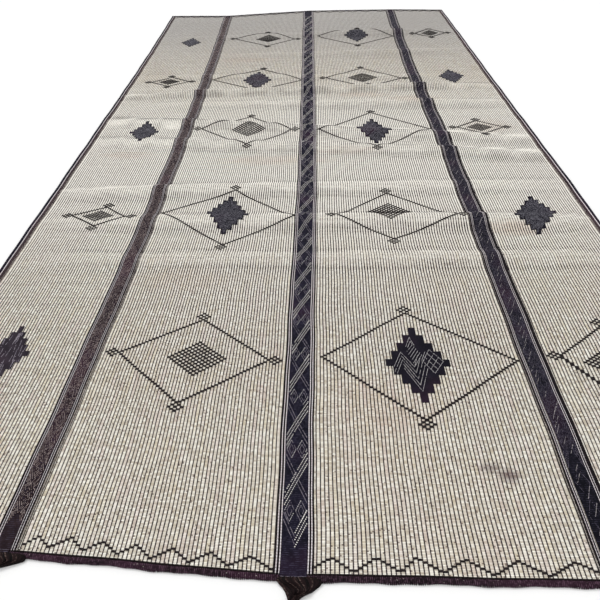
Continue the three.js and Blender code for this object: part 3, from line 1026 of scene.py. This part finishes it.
# %% Cords beside the bands
# for each band, its cords on the left and on the right, from the leather outwards: (from, to, kind)
# in mm from the band's own line
CORDS = {
    "left": [
        (-26.8, -24, "cream"), (-30.4, -27.2, "dark"), (-34, -31, "cream"), (-41, -34.5, "dark"),
        (25.8, 28.4, "cream"), (28.6, 32, "dark"), (32.4, 35.2, "cream"), (35.6, 40.6, "dark"),
        (41.2, 45, "dim"), (45.3, 48, "dark"),
    ],
    "centre": [
        (-41.5, -38, "cream"), (-46, -42, "dark"), (-50.5, -47, "cream"), (-57.5, -51.5, "dark"),
        (38, 41.5, "cream"), (41.8, 45.5, "dark"), (46, 49.5, "cream"), (50, 55, "dark"),
    ],
    "right": [
        (-33.6, -31.4, "cream"), (-37, -34.2, "dark"), (-39.2, -37.3, "cream"), (-45.7, -39.7, "dark"),
        (-48.2, -46, "dim"), (-52.2, -48.5, "dark"), (25.4, 27.6, "cream"), (28, 31.2, "dark"),
        (32, 34, "cream"), (34.8, 46.5, "dark"),
    ],
}


# each kind's finish, its foot and top above the floor, the share of its width that it fills, beads
KINDS = {
    "cream": (CREAM_CORD, 3.4, 6.4, 1.4, True),
    "dim": (DIM_CORD, 3.4, 5.4, 1.0, True),
    "dark": (DARK_CORD, 3.3, 6.3, 1.2, False),
}
cord_pieces = []
for name, cords in CORDS.items():
    # the stalks between the pale cords are blackened, so a dark ground lies under each pair
    middle = BANDS[name][0]
    ground = []
    for side in (-1, 1):
        edges = [abs(edge) for *cord, kind in cords if kind == "cream" for edge in cord if edge * side > 0]
        low, high = min(edges) - 0.9, max(edges) + 0.6
        ground.append((middle + side * (low + high) / 2, (high - low) / 2))
    ground = ribbons("cord_ground_" + name, ground, 4.15, 4.6, DARK_CORD, sway=0)
    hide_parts("band_" + name)
    cord_pieces.append(ground)
    for kind, (finish, low, high, fill, beads) in KINDS.items():
        lines = [(middle + (a + b) / 2, fill * (b - a) / 2) for a, b, one in cords if one == kind]
        if lines:
            title = "cords_%s_%s" % (kind, name)
            cord = ribbons(title, lines, low, high, finish, beads=beads)
            cord_pieces.append(cord)
print("cords", [count_triangles(piece) for piece in cord_pieces], "triangles")

# %% [markdown]
# ### Stitching on the bands
#
# The centre band carries a lattice of fine pale stitches: at every crossing three lines run one way
# and two fainter ones the other, and two small diamonds stand side by side between crossings. The
# left band has nested long diamonds, the right one sparse, faint ones. Each line is charted once
# and then walked at even steps, with one small pad laid at every step.


# %% Walking a line in stitches
STITCH_FOOT = 5.5
STITCH_TALL = 0.95


def walk(lines, pitch):
    """Middles and angles of stitches along lines, each ((u, v), (u, v))."""
    u, v, turn = [], [], []
    for (u0, v0), (u1, v1) in lines:
        long = math.hypot(u1 - u0, v1 - v0)
        count = max(1, int(long / pitch))
        t = (np.arange(count) + 0.5) / count
        u.append(u0 + (u1 - u0) * t)
        v.append(v0 + (v1 - v0) * t)
        turn.append(np.full(count, math.atan2(v1 - v0, u1 - u0)))
    return np.concatenate(u), np.concatenate(v), np.concatenate(turn)


def diamond(u, v, half_wide, half_long):
    corners = [(u + half_wide, v), (u, v + half_long), (u - half_wide, v), (u, v - half_long)]
    return [(corners[i], corners[(i + 1) % 4]) for i in range(4)]


def stitched(name, lines, pitch, long, wide, material, worn, clip=(-LENGTH, LENGTH)):
    """Small stitches along lines on a band, clipped to it; a share of them is worn away."""
    kept = [line for line in lines if 0 < line[0][1] < LENGTH and 0 < line[1][1] < LENGTH]
    u, v, turn = walk(kept, pitch)
    left = (chance.random(len(u)) >= worn) & (u > clip[0]) & (u < clip[1])
    u, v, turn = u[left], v[left], turn[left]
    u, v, up, faces = copies(STITCH_PAD, u, v, turn, long, wide, STITCH_TALL, STITCH_FOOT)
    return laid(name, u, v, up, faces, material)


# %% Lattice of the centre band
# where the lines cross, along the band: read from the photograph at first, then evenly on
CROSSINGS = [273, 468, 678, 855, 1036, 1211] + [1211 + 190 * k for k in range(1, 22)]
V_END = 69
EDGE = 34.5
DROP = 68.0
bright, faint = [], []
middles = [V_END] + CROSSINGS
for k, v in enumerate(middles):
    # the first lines start from the middle and make a V, the others cross
    start, rise = (0.0, 19.0) if k == 0 else (-EDGE, 0.0)
    near = 0.0 if k == 0 else -DROP
    for off in (-19, 0, 19):
        bright.append(((start, v + near + off + rise), (EDGE, v + DROP + off + rise)))
    for off in (-10, 10):
        faint.append(((-start, v + near + off + rise), (-EDGE, v + DROP + off + rise)))
small = []
SMALL_OFF = 17.0
for low, high in zip(middles, middles[1:]):
    middle = (low + high) / 2
    for u in (-SMALL_OFF, SMALL_OFF):
        # two sides of a small diamond are bright and two are faint, as is the one inside it
        sides = diamond(u, middle, 15.5, 32)
        small += sides[1::2]
        faint += sides[0::2]
        faint += diamond(u, middle, 8.0, 17)
hem = [((-8.0, 2.0), (34.0, 3.0))]
lattice = [
    stitched("stitches_centre_bright", bright, 6.2, 3.2, 3.4, STITCH_CREAM, 0.03),
    stitched("stitches_centre_small", small + hem, 5.4, 3.1, 2.7, STITCH_BRIGHT, 0.06),
    stitched("stitches_centre_faint", faint, 3.8, 3.0, 2.1, STITCH_GREY, 0.1),
]

# %% Nested diamonds of the left band
# each step of about 95 mm has a large nest in the middle and halves of smaller ones at both edges
nested = []
v = 108.0
while v < LENGTH - 60:
    lean = chance.uniform(-4, 4)
    for share in (0.98, 0.72, 0.46, 0.2):
        nested += diamond(1 - BAND_OFF + lean * share, v + 46, 23 * share, 48 * share)
        for side in (-23, 23):
            nested += diamond(1 - BAND_OFF + side, v, 21 * share * 0.8, 44 * share * 0.8)
    v += chance.uniform(90, 99)

# %% Slanted strokes and faint diamonds of the right band
# the strokes come in irregular steps; the long nests of diamonds follow every 172 mm
marks, sparse = [], []
v = 60.0
while v < LENGTH - 110:
    start = BAND_OFF - 26 + chance.uniform(0, 24)
    long = chance.uniform(12, 26)
    end = min(start + long, BAND_OFF + 22)
    marks.append(((start, v), (end, v + long * chance.uniform(1.6, 2.2))))
    v += chance.uniform(22, 60)
for v in range(388, int(LENGTH) - 190, 172):
    for share in (1.0, 0.8, 0.58, 0.32):
        sparse += diamond(BAND_OFF - 2, v + 86, 25 * share, 86 * share)
        for side in (-25, 25):
            sparse += diamond(BAND_OFF - 2 + side, v, 20 * share, 70 * share)
for k in range(3):
    sparse += diamond(BAND_OFF - 2, 70 + 100 * k, 20, 48)
left_clip = (-BAND_OFF - 21, -BAND_OFF + 23)
right_clip = (BAND_OFF - 27, BAND_OFF + 22)
lattice += [
    stitched("stitches_left", nested, 3.8, 3.5, 1.5, STITCH_BROWN, 0.3, left_clip),
    stitched("stitches_right", marks, 3.8, 3.3, 1.5, STITCH_LINE, 0.14),
    stitched("stitches_right_faint", sparse, 3.8, 3.2, 1.6, STITCH_FAINT, 0.25, right_clip),
]
print("band stitches", [count_triangles(piece) for piece in lattice], "triangles")

# %% [markdown]
# ## The stepped patches
#
# Ten dark leather patches are cut in steps, one step for every few cells of the weave. A patch is
# laid out as a grid that follows its steps, laid over the reeds, and given its thickness by a
# Solidify modifier. On top go thin pale stitches in nested lines, a little different on each.

# %% Patches
# from the middle out: share of the half width, and the share of the half length where it ends
STEPS = [(1, 0.09), (0.79, 0.315), (0.57, 0.545), (0.34, 0.775), (0.115, 1)]
PATCH_THICK = 1.5
PATCHES = {
    # name: u, v, half width, half length, shift of the far tip to the right, of the right tip back
    "patch_1_outer_left": (-1113, 4567, 90, 121, 0, -13),
    "patch_1_inner_right": (452, 4608, 112, 160, 0, -8),
    "patch_2_inner_left": (-418, 3557, 115, 178, 0, 0),
    "patch_2_outer_right": (1141, 3564, 98, 133, 3, 3),
    "patch_3_outer_left": (-1120, 2660, 92, 141, -5, 3),
    "patch_3_inner_right": (428, 2645, 110, 174, 0, -16),
    "patch_4_inner_left": (-423, 1690, 115, 169, 0, -17),
    "patch_4_outer_right": (1149, 1683, 112, 167, 32, 20),
    "patch_5_outer_left": (-1181, 724, 88, 146, 0, 0),
    "patch_5_inner_right": (429, 732, 117, 175, 0, 0),
}


def half_width_at(share):
    """The width of the stepped outline at shares of its half length."""
    share = np.abs(share)
    wide = np.zeros_like(share)
    for step_wide, up_to in reversed(STEPS):
        wide = np.where(share <= up_to + 1e-9, step_wide, wide)
    return wide


def on_patch(spec, x, y):
    """The place on the mat of a point given in shares of a patch's half width and half length."""
    u, v, half_wide, half_long, lean, tilt = spec
    return u + x * half_wide + y * lean, v + y * half_long + x * tilt


def spread(marks, longest):
    """Marks with more put in between, so that none are further apart than longest."""
    out = [marks[0]]
    for a, b in zip(marks, marks[1:]):
        count = max(1, int(math.ceil((b - a) / longest)))
        out += [a + (b - a) * k / count for k in range(1, count + 1)]
    return np.array(out)


def patch(name, spec):
    """A stepped patch: the cells of a grid that lie inside its outline, made solid."""
    half_wide, half_long = spec[2:4]
    # cells of at most 24 by 8 mm
    columns = spread(sorted({s * wide for wide, _ in STEPS for s in (-1, 1)}), 24 / half_wide)
    rows = spread(sorted({s * up_to for _, up_to in STEPS for s in (-1, 1)}), 8 / half_long)
    size = len(columns)
    kept = []
    for r in range(len(rows) - 1):
        wide = half_width_at((rows[r] + rows[r + 1]) / 2)
        for i in range(size - 1):
            if abs(columns[i] + columns[i + 1]) / 2 < wide:
                a = r * size + i
                kept.append([a, a + 1, a + 1 + size, a + size])
    used = np.unique(np.array(kept))
    number = {old: new for new, old in enumerate(used)}
    faces = [[number[i] for i in face] for face in kept]
    grid_x, grid_y = np.meshgrid(columns, rows)
    u, v = on_patch(spec, grid_x.ravel()[used], grid_y.ravel()[used])
    material = PATCH_GREY if "5_outer" in name else PATCH_DARK
    top = BAND_BASE + PATCH_THICK
    piece = laid(name + "_leather", u, v, top, faces, material)
    solid = piece.modifiers.new("thickness", "SOLIDIFY")
    solid.thickness = PATCH_THICK / 1000
    solid.offset = -1
    bpy.context.view_layer.objects.active = piece
    bpy.ops.object.modifier_apply(modifier="thickness")
    steps = zip(STEPS, [(0, 0)] + STEPS)
    share = sum(wide * (up_to - before) for (wide, up_to), (_, before) in steps)
    area = 4 * half_wide * half_long * share
    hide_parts(name)
    area / 1e6
    return piece


patch_pieces = {name: patch(name, spec) for name, spec in PATCHES.items()}
print("patches", {name: count_triangles(piece) for name, piece in patch_pieces.items()})


# %% Line work on the patches
def joined(*corners):
    """The lines of a path."""
    return list(zip(corners, corners[1:]))


def zigzags():
    """The nearest patch, in mm from its middle: nested peaks, a slanted comb and a lattice."""
    lines = joined((-34, 75), (-13.5, 124), (-2, 84)) + joined((-27, 72), (-13, 104), (-8, 88))
    for k in range(5):
        peak = (-57 + k, 49 - 18.8 * k)
        valley = (-15 + 3.4 * k, -21 - 27 * k)
        lines += joined(peak, valley, (3 + 7.4 * k, 35 - 15.2 * k))
        if k < 3:
            lines += joined((peak[0] - 35 + 2 * k, peak[1] - 75), peak)
    for k in range(6):
        lines.append(((-8 + 5.5 * k, 86 - 9.6 * k), (-33 + 4.1 * k, 52 - 13.8 * k)))
    lines += [((33.6, 52.5), (12, 3)), ((41, 48), (19, 3))]
    west, north, east, south = (np.array(p) for p in ((19, 7), (49.5, 63), (94, 7), (55, -49)))
    for share in (0, 1 / 3, 2 / 3, 1):
        lines.append((west + (north - west) * share, south + (east - south) * share))
        lines.append((west + (south - west) * share, north + (east - north) * share))
    return lines


def four_lozenges(half_wide, half_long, lean):
    """Four groups of nested lozenges, with a dark cross left bare between them."""
    lines = []
    for i, j, reach in [(0, 0.5, 0.44), (-0.45, 0.02, 0.5), (0.45, -0.02, 0.5), (0, -0.5, 0.44)]:
        for share in (1.0, 0.89, 0.78, 0.67, 0.56, 0.45, 0.34, 0.23, 0.12):
            wide, long = reach * share * half_wide, reach * 0.94 * share * half_long
            lines += diamond((i + lean * j) * half_wide, j * half_long, wide, long)
    return lines


def streaks():
    """Steep, broken streaks, as on the patch by the left edge."""
    lines = []
    for k in range(46):
        x, y = chance.uniform(-72, 72), chance.uniform(-120, 100)
        lines.append(((x, y), (x + chance.uniform(-9, 9), y + chance.uniform(24, 66))))
    return lines


patch_lines = []
# the bare rim of a patch, in mm
HEM = 4
for number, (name, spec) in enumerate(PATCHES.items()):
    half_wide, half_long = spec[2:4]
    if name == "patch_5_inner_right":
        lines, finish, pitch, long, wide = zigzags(), STITCH_BRIGHT, 3.6, 3.5, 1.2
    elif name == "patch_5_outer_left":
        lines, finish, pitch, long, wide = streaks(), STITCH_GREY, 4.4, 4.0, 2.6
    else:
        lines = four_lozenges(half_wide, half_long, 0.16 * math.sin(2.1 * number))
        finish, pitch, long, wide = STITCH_SLATE, 4.6, 4.1, 2.0
    x, y, turn = walk(lines, pitch)
    x, y = x / half_wide, y / half_long
    clear = HEM / half_long
    room = np.minimum(half_width_at(y - clear), half_width_at(y + clear)) - HEM / half_wide
    kept = (np.abs(x) < room) & (chance.random(len(x)) > 0.12)
    u, v = on_patch(spec, x[kept], y[kept])
    foot = BAND_BASE + PATCH_THICK - 0.1
    u, v, up, faces = copies(STITCH_PAD, u, v, turn[kept], long, wide, 0.45, foot)
    patch_lines.append(laid(name + "_stitches", u, v, up, faces, finish))
print("patch stitches", sum(count_triangles(piece) for piece in patch_lines), "triangles")

# %% [markdown]
# ## The selvedges
#
# Each long edge is closed by a roll of blue-black leather, wound over the reeds' ends and sewn. A
# pale cord runs beside it, then a dark brown strip, then three fine brown cords.


# %% Rolled edges
# the section of a roll: distance in from the edge of the reeds and height
ROLL = np.array([
    [13.7, 0.1], [13.7, 5.2], [12.4, 7.6], [9.6, 8.9], [6.4, 9.0], [3, 7.9], [0.7, 5.4], [0.4, 2.6],
    [1.9, 0.3],
])


def roll(name, side):
    """The rolled outer part of an edge: a closed tube with a rounded section."""
    inward, height = ROLL[::side].T
    v = np.linspace(0, LENGTH, 680)
    swell = 1 + 0.035 * np.sin(np.arange(len(v)) * 2.1) + 0.03 * np.sin(v / 70)
    points = place(side * (HALF_WIDTH - inward), v[:, None], height * swell[:, None])
    size = len(ROLL)
    bake = square_map(np.repeat(v, size), np.tile(np.arange(size), len(v)))
    faces = bar_faces(len(v), size)
    piece = new_piece(name, points, faces, ROLL_DARK, bake=bake)
    smooth(piece, 60)
    return piece


# how far in from the edge of the reeds the pale cord, the strip and the brown cords lie
PALE_OFF = 17
FLAP_OFF = 27
BROWN_OFFS = (36, 40, 44)
for title, side in (("left", -1), ("right", 1)):
    rolled = roll("edge_roll_" + title, side)
    middle = side * (HALF_WIDTH - FLAP_OFF)
    flap = strip("edge_strip_" + title, middle, -7, 7, 1.2, 0.4, 3, EDGE_BROWN)
    for piece in (rolled, flap):
        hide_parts("edge_" + title)
    pale = [(side * (HALF_WIDTH - PALE_OFF), 2.4)]
    cord = ribbons("edge_cord_cream_" + title, pale, 3.4, 6.6, CREAM_CORD, beads=True)
    brown = [(side * (HALF_WIDTH - off), 1.6) for off in BROWN_OFFS]
    fine = ribbons("edge_cords_brown_" + title, brown, 3.3, 5.4, BROWN_CORD)
    print("edge", title, [count_triangles(one) for one in (rolled, flap, cord, fine)], "triangles")

# %% [markdown]
# ## The wrapped ends
#
# The reeds end in a binding: a soft core wound all along with a narrow brown thong. The core is a
# rounded bar through the place function. The winding is one turn, a half ring cut from a torus,
# copied side by side for the whole width and leaning a little, as a hand winds it.


# %% One turn of the winding
def turn_template():
    """Half a ring, one unit wide and high, thick enough to stand proud of the core."""
    bpy.ops.object.select_all(action="DESELECT")
    bpy.ops.mesh.primitive_torus_add(
        major_segments=10, minor_segments=4, major_radius=0.5, minor_radius=0.1,
        rotation=(math.pi / 2, 0, 0),
    )
    made = bpy.context.object
    bpy.ops.object.transform_apply(rotation=True)
    bpy.ops.object.mode_set(mode="EDIT")
    bpy.ops.mesh.select_all(action="SELECT")
    bpy.ops.mesh.bisect(plane_co=(0, 0, -0.02), plane_no=(0, 0, 1), clear_inner=True)
    bpy.ops.object.mode_set(mode="OBJECT")
    return read_template()


TURN_OF_THONG = turn_template()
print("one turn of the winding", len(TURN_OF_THONG[1]), "faces")

# %% End bindings
TURN_PITCH = 5.6
# the core's section: distance outwards from the binding's inner side and height
CORE = np.array([[0.4, 0.2], [15.0, 0.2], [15.6, 4.0], [13.4, 7.6], [8.2, 8.6], [3.0, 7.8], [0.4, 4.4]])
BINDING_GAP = 0.3


def end_binding(name, v_line, outward):
    """A rounded core just outside the reeds, its winding, and the seam along the reeds' ends."""
    u = np.linspace(-HALF_WIDTH, HALF_WIDTH, 200)
    size = len(CORE)
    out, height = np.tile(CORE.T, len(u))
    points = place(np.repeat(u, size), v_line, height)
    points[:, 1] += outward * (BINDING_GAP + out) / 1000
    faces = [face[::outward] for face in bar_faces(len(u), size)]
    bake = square_map(np.repeat(u, size), np.tile(np.arange(size), len(u)))
    core = new_piece("binding_core_" + name, points, faces, BOUND_BROWN, bake=bake)
    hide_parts("binding_" + name)

    template = TURN_OF_THONG[0]
    along = np.arange(-HALF_WIDTH + 4, HALF_WIDTH - 3, TURN_PITCH)
    along = (along + chance.normal(0, 0.35, len(along)))[:, None]
    width = chance.uniform(0.8, 1.15, along.shape)
    height = chance.uniform(0.96, 1.04, along.shape)
    middle = place(along, v_line, 0)
    wavy = 1.3 * np.sin(along / 37) + 0.9 * np.sin(along / 13 + 1)
    # the template's ring lies in x and z: x becomes the way across the bar, y the way along it.
    # It is drawn out to the bar's width with a waver, and each turn leans by 3.4 mm.
    out = (template[:, 0] + 0.5) * (16.8 + wavy) - 0.4
    aside = template[:, 1] * 24 * width + 3.4 * template[:, 0]
    up = np.maximum(template[:, 2], 0) * 17.4 * height + 0.3
    x = middle[:, :1] + aside / 1000
    y = middle[:, 1:2] + outward * (BINDING_GAP + out) / 1000
    points = np.stack([x, y, up / 1000], axis=2).reshape(-1, 3)
    faces = [face[::-outward] for face in repeated(TURN_OF_THONG, len(along))]
    bake = square_map(points[:, 0], points[:, 2] + 0.3 * points[:, 1])
    wound = new_piece("binding_winding_" + name, points, faces, BOUND_BROWN, bake=bake)
    for piece in (core, wound):
        smooth(piece, 60)

    seam_v = v_line - outward * np.tile([-0.6, 1.6, 4.2], len(u))
    up = np.tile([4.0, 7.2, 4.2], len(u))
    faces = quads(len(u), 3)[:, ::outward].tolist()
    laid("binding_seam_" + name, np.repeat(u, 3), seam_v, up, faces, DASH_BLACK)
    print("binding", name, [count_triangles(one) for one in (core, wound)], "triangles")


end_binding("near", 0.0, -1)
end_binding("far", LENGTH, 1)

# %% [markdown]
# ## The tassels
#
# At the near end each band's leather laps over the binding and is sewn down with fine pale
# threads. From under it a bundle of cut strands falls to the floor and gathers into a neck. One
# strand is modelled, a slim bar drawn out in steps, and then every copy follows its own path through
# the neck. Strands near the floor are laid first and others over them.


# %% Band ends lapped over the binding
# distance outwards from the reeds' end and height of the leather, in mm
LAP = np.array([[-6, 6.6], [-2, 9.0], [1.5, 10.7], [5.5, 11.3], [8.5, 10.9], [9.2, 8.8]])
# how far out the fine pale threads are sewn across each band's end
END_THREADS = {"left": (-2.6, 3.4), "centre": (5.4,), "right": (-1.0, 4.4)}


def lap_over(name, u, left, right, material, section):
    """A narrow sheet across a band's end: section is a list of (distance out, height)."""
    across_it = u + np.linspace(left, right, 25)
    root = place(across_it, 0.0, 0.0)
    points = np.repeat(root[None], len(section), axis=0)
    points[:, :, 1] -= section[:, :1] / 1000
    points[:, :, 2] += section[:, 1:] / 1000
    size = len(across_it)
    faces = quads(len(section), size)[:, ::-1].tolist()
    rows, columns = np.repeat(section[:, 0], size), np.tile(across_it, len(section))
    flat = points.reshape(-1, 3)
    piece = new_piece(name, flat, faces, material, bake=square_map(columns, rows))
    smooth(piece, 60)
    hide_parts("band_" + name.split("_")[-1])


for name, (u, left, right, material) in BANDS.items():
    lap_over("band_lap_" + name, u, left, right, material, LAP)
    for number, out in enumerate(END_THREADS[name]):
        out = out + np.array([-0.5, 0, 0.5])
        lift = np.interp(out, LAP[:, 0], LAP[:, 1]) + np.array([0, 0.5, 0])
        section = np.stack([out, lift], axis=1)
        title = "band_thread_%d_%s" % (number, name)
        finish = STITCH_GREY if name == "centre" else STITCH_FAINT
        lap_over(title, u, left + 2, right - 2, finish, section)

# %% One strand
def strand_template(steps=18):
    """A slim bar from z = 0 to z = 1, drawn out step by step, half a unit to each side."""
    bpy.ops.object.select_all(action="DESELECT")
    bpy.ops.mesh.primitive_cylinder_add(vertices=6, radius=0.5, depth=1 / steps,
                                        location=(0, 0, 0.5 / steps), end_fill_type="NGON")
    made = bpy.context.object
    bpy.ops.object.transform_apply(location=True)
    pick_faces(made.data, lambda normal, centre: normal.z > 0.5)
    bpy.ops.mesh.select_mode(type="FACE")
    for _ in range(steps - 1):
        bpy.ops.mesh.extrude_region_move(TRANSFORM_OT_translate={"value": (0, 0, 1 / steps)})
    bpy.ops.object.mode_set(mode="OBJECT")
    return read_template()


STRAND = strand_template()
print("one strand", len(STRAND[1]), "faces")

# a tassel's root, in mm outside the reeds' end
ROOT_OFF = 16.6
# distance out from the root, sideways shift, half width, underside and top of the bundle: it starts
# on the binding, falls to the floor and gathers into the neck
TASSEL = np.array([
    [-14, 10, 50, 10.2, 13], [-3, 17, 61, 10.2, 13.4], [3, 18, 60, 5, 13], [10, 18, 53, 0, 12],
    [24, 15, 37, 0, 14], [29, 14, 34, 0, 14.5], [34, 6, 21, 0, 15], [43, 3, 15, 0, 15],
    [56, 3, 13, 0, 14], [85, 1, 19, 0, 12], [120, -2, 25, 0, 9], [150, -5, 23, 0, 6],
])
# how far each tassel is thrown sideways for each millimetre that it is gathered, between which
# distances out it is gathered, and the share of the throw that goes on beyond them
THROWN = {"left": -1.9, "centre": 0.0, "right": 0.2}
GATHER_FROM, GATHER_TO, BEYOND = 10.0, 43.0, 0.37


# %% Tassels
# for each layer from the floor up: strands, its level in the bundle, and how far the strands sweep
# across to the right on their way to the neck
LAYERS = [(30, 0.0, 0.0), (30, 0.3, 0.0), (28, 0.62, 0.25), (22, 0.86, 0.45)]


def tassel(name, u, left, right):
    """A bundle of strands that spread at the binding, meet in a neck and fan out again."""
    ends = place(np.array([u + left, u + right]), 0.0, 0.0)
    root = ends.mean(axis=0) * 1000 - np.array([0, ROOT_OFF, 0])
    lean = (ends[1, 1] - ends[0, 1]) / (ends[1, 0] - ends[0, 0])
    points = STRAND[0]
    made, plan = [], []
    for layer, (count, level, sweep) in enumerate(LAYERS):
        for k, spot in enumerate(np.linspace(-1, 1, count)):
            spot = spot * (1 - 0.05 * layer) + chance.normal(0, 0.012)
            start = -11 + chance.uniform(0, 2.5) + 1.2 * (3 - layer)
            out = start + (chance.uniform(128, 151) - 10 * layer - start) * points[:, 2]
            shift, half, under, top = (np.interp(out, TASSEL[:, 0], TASSEL[:, i]) for i in range(1, 5))
            thrown = np.clip(out, GATHER_FROM, GATHER_TO) - GATHER_FROM
            thrown = THROWN[name] * (thrown + BEYOND * np.maximum(0, out - GATHER_TO))
            wave = 1.3 * np.sin(out / 13 + 2 * k + layer) * np.clip(out / 20, 0, 1)
            # strands cross on their way to the neck
            cross = spot + 0.1 * np.sin(out / 17 + 1.7 * k) * np.clip(out / 30, 0, 1)
            cross = cross + sweep * np.clip(out / 24, 0, 1) * np.clip(2 - out / 24, 0, 1) * (1 - spot)
            wide = np.maximum(half * 0.085, 2.4) * (1.35 if layer < 2 else 1)
            x = shift + thrown + np.clip(cross, -1, 1) * (half - 1.4) + wave + points[:, 0] * wide
            y = -out + lean * x * np.clip(1 - out / 30, 0, 1)
            lift = under + level * (1 - 0.3 * spot ** 2) * (top - under - 2.6)
            z = np.maximum(0.4, lift + 1.5 + points[:, 1] * 3.0)
            made.append(np.stack([root[0] + x, root[1] + y, z], axis=1) / 1000)
            plan.append(np.stack([np.full(len(points), 40.0 * layer + k + 0.5), out / 10], axis=1))
    faces = repeated(STRAND, len(made))
    points, plan = np.concatenate(made), np.concatenate(plan)
    bake = square_map(points[:, 0], points[:, 1])
    name = "tassel_strands_" + name
    piece = new_piece(name, points, faces, STRANDS, plan, bake)
    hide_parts(name.replace("_strands", ""))
    smooth(piece, 50)
    return piece


tassels = [tassel(name, u, left, right) for name, (u, left, right, _) in BANDS.items()]
print("tassels", [count_triangles(piece) for piece in tassels], "triangles")
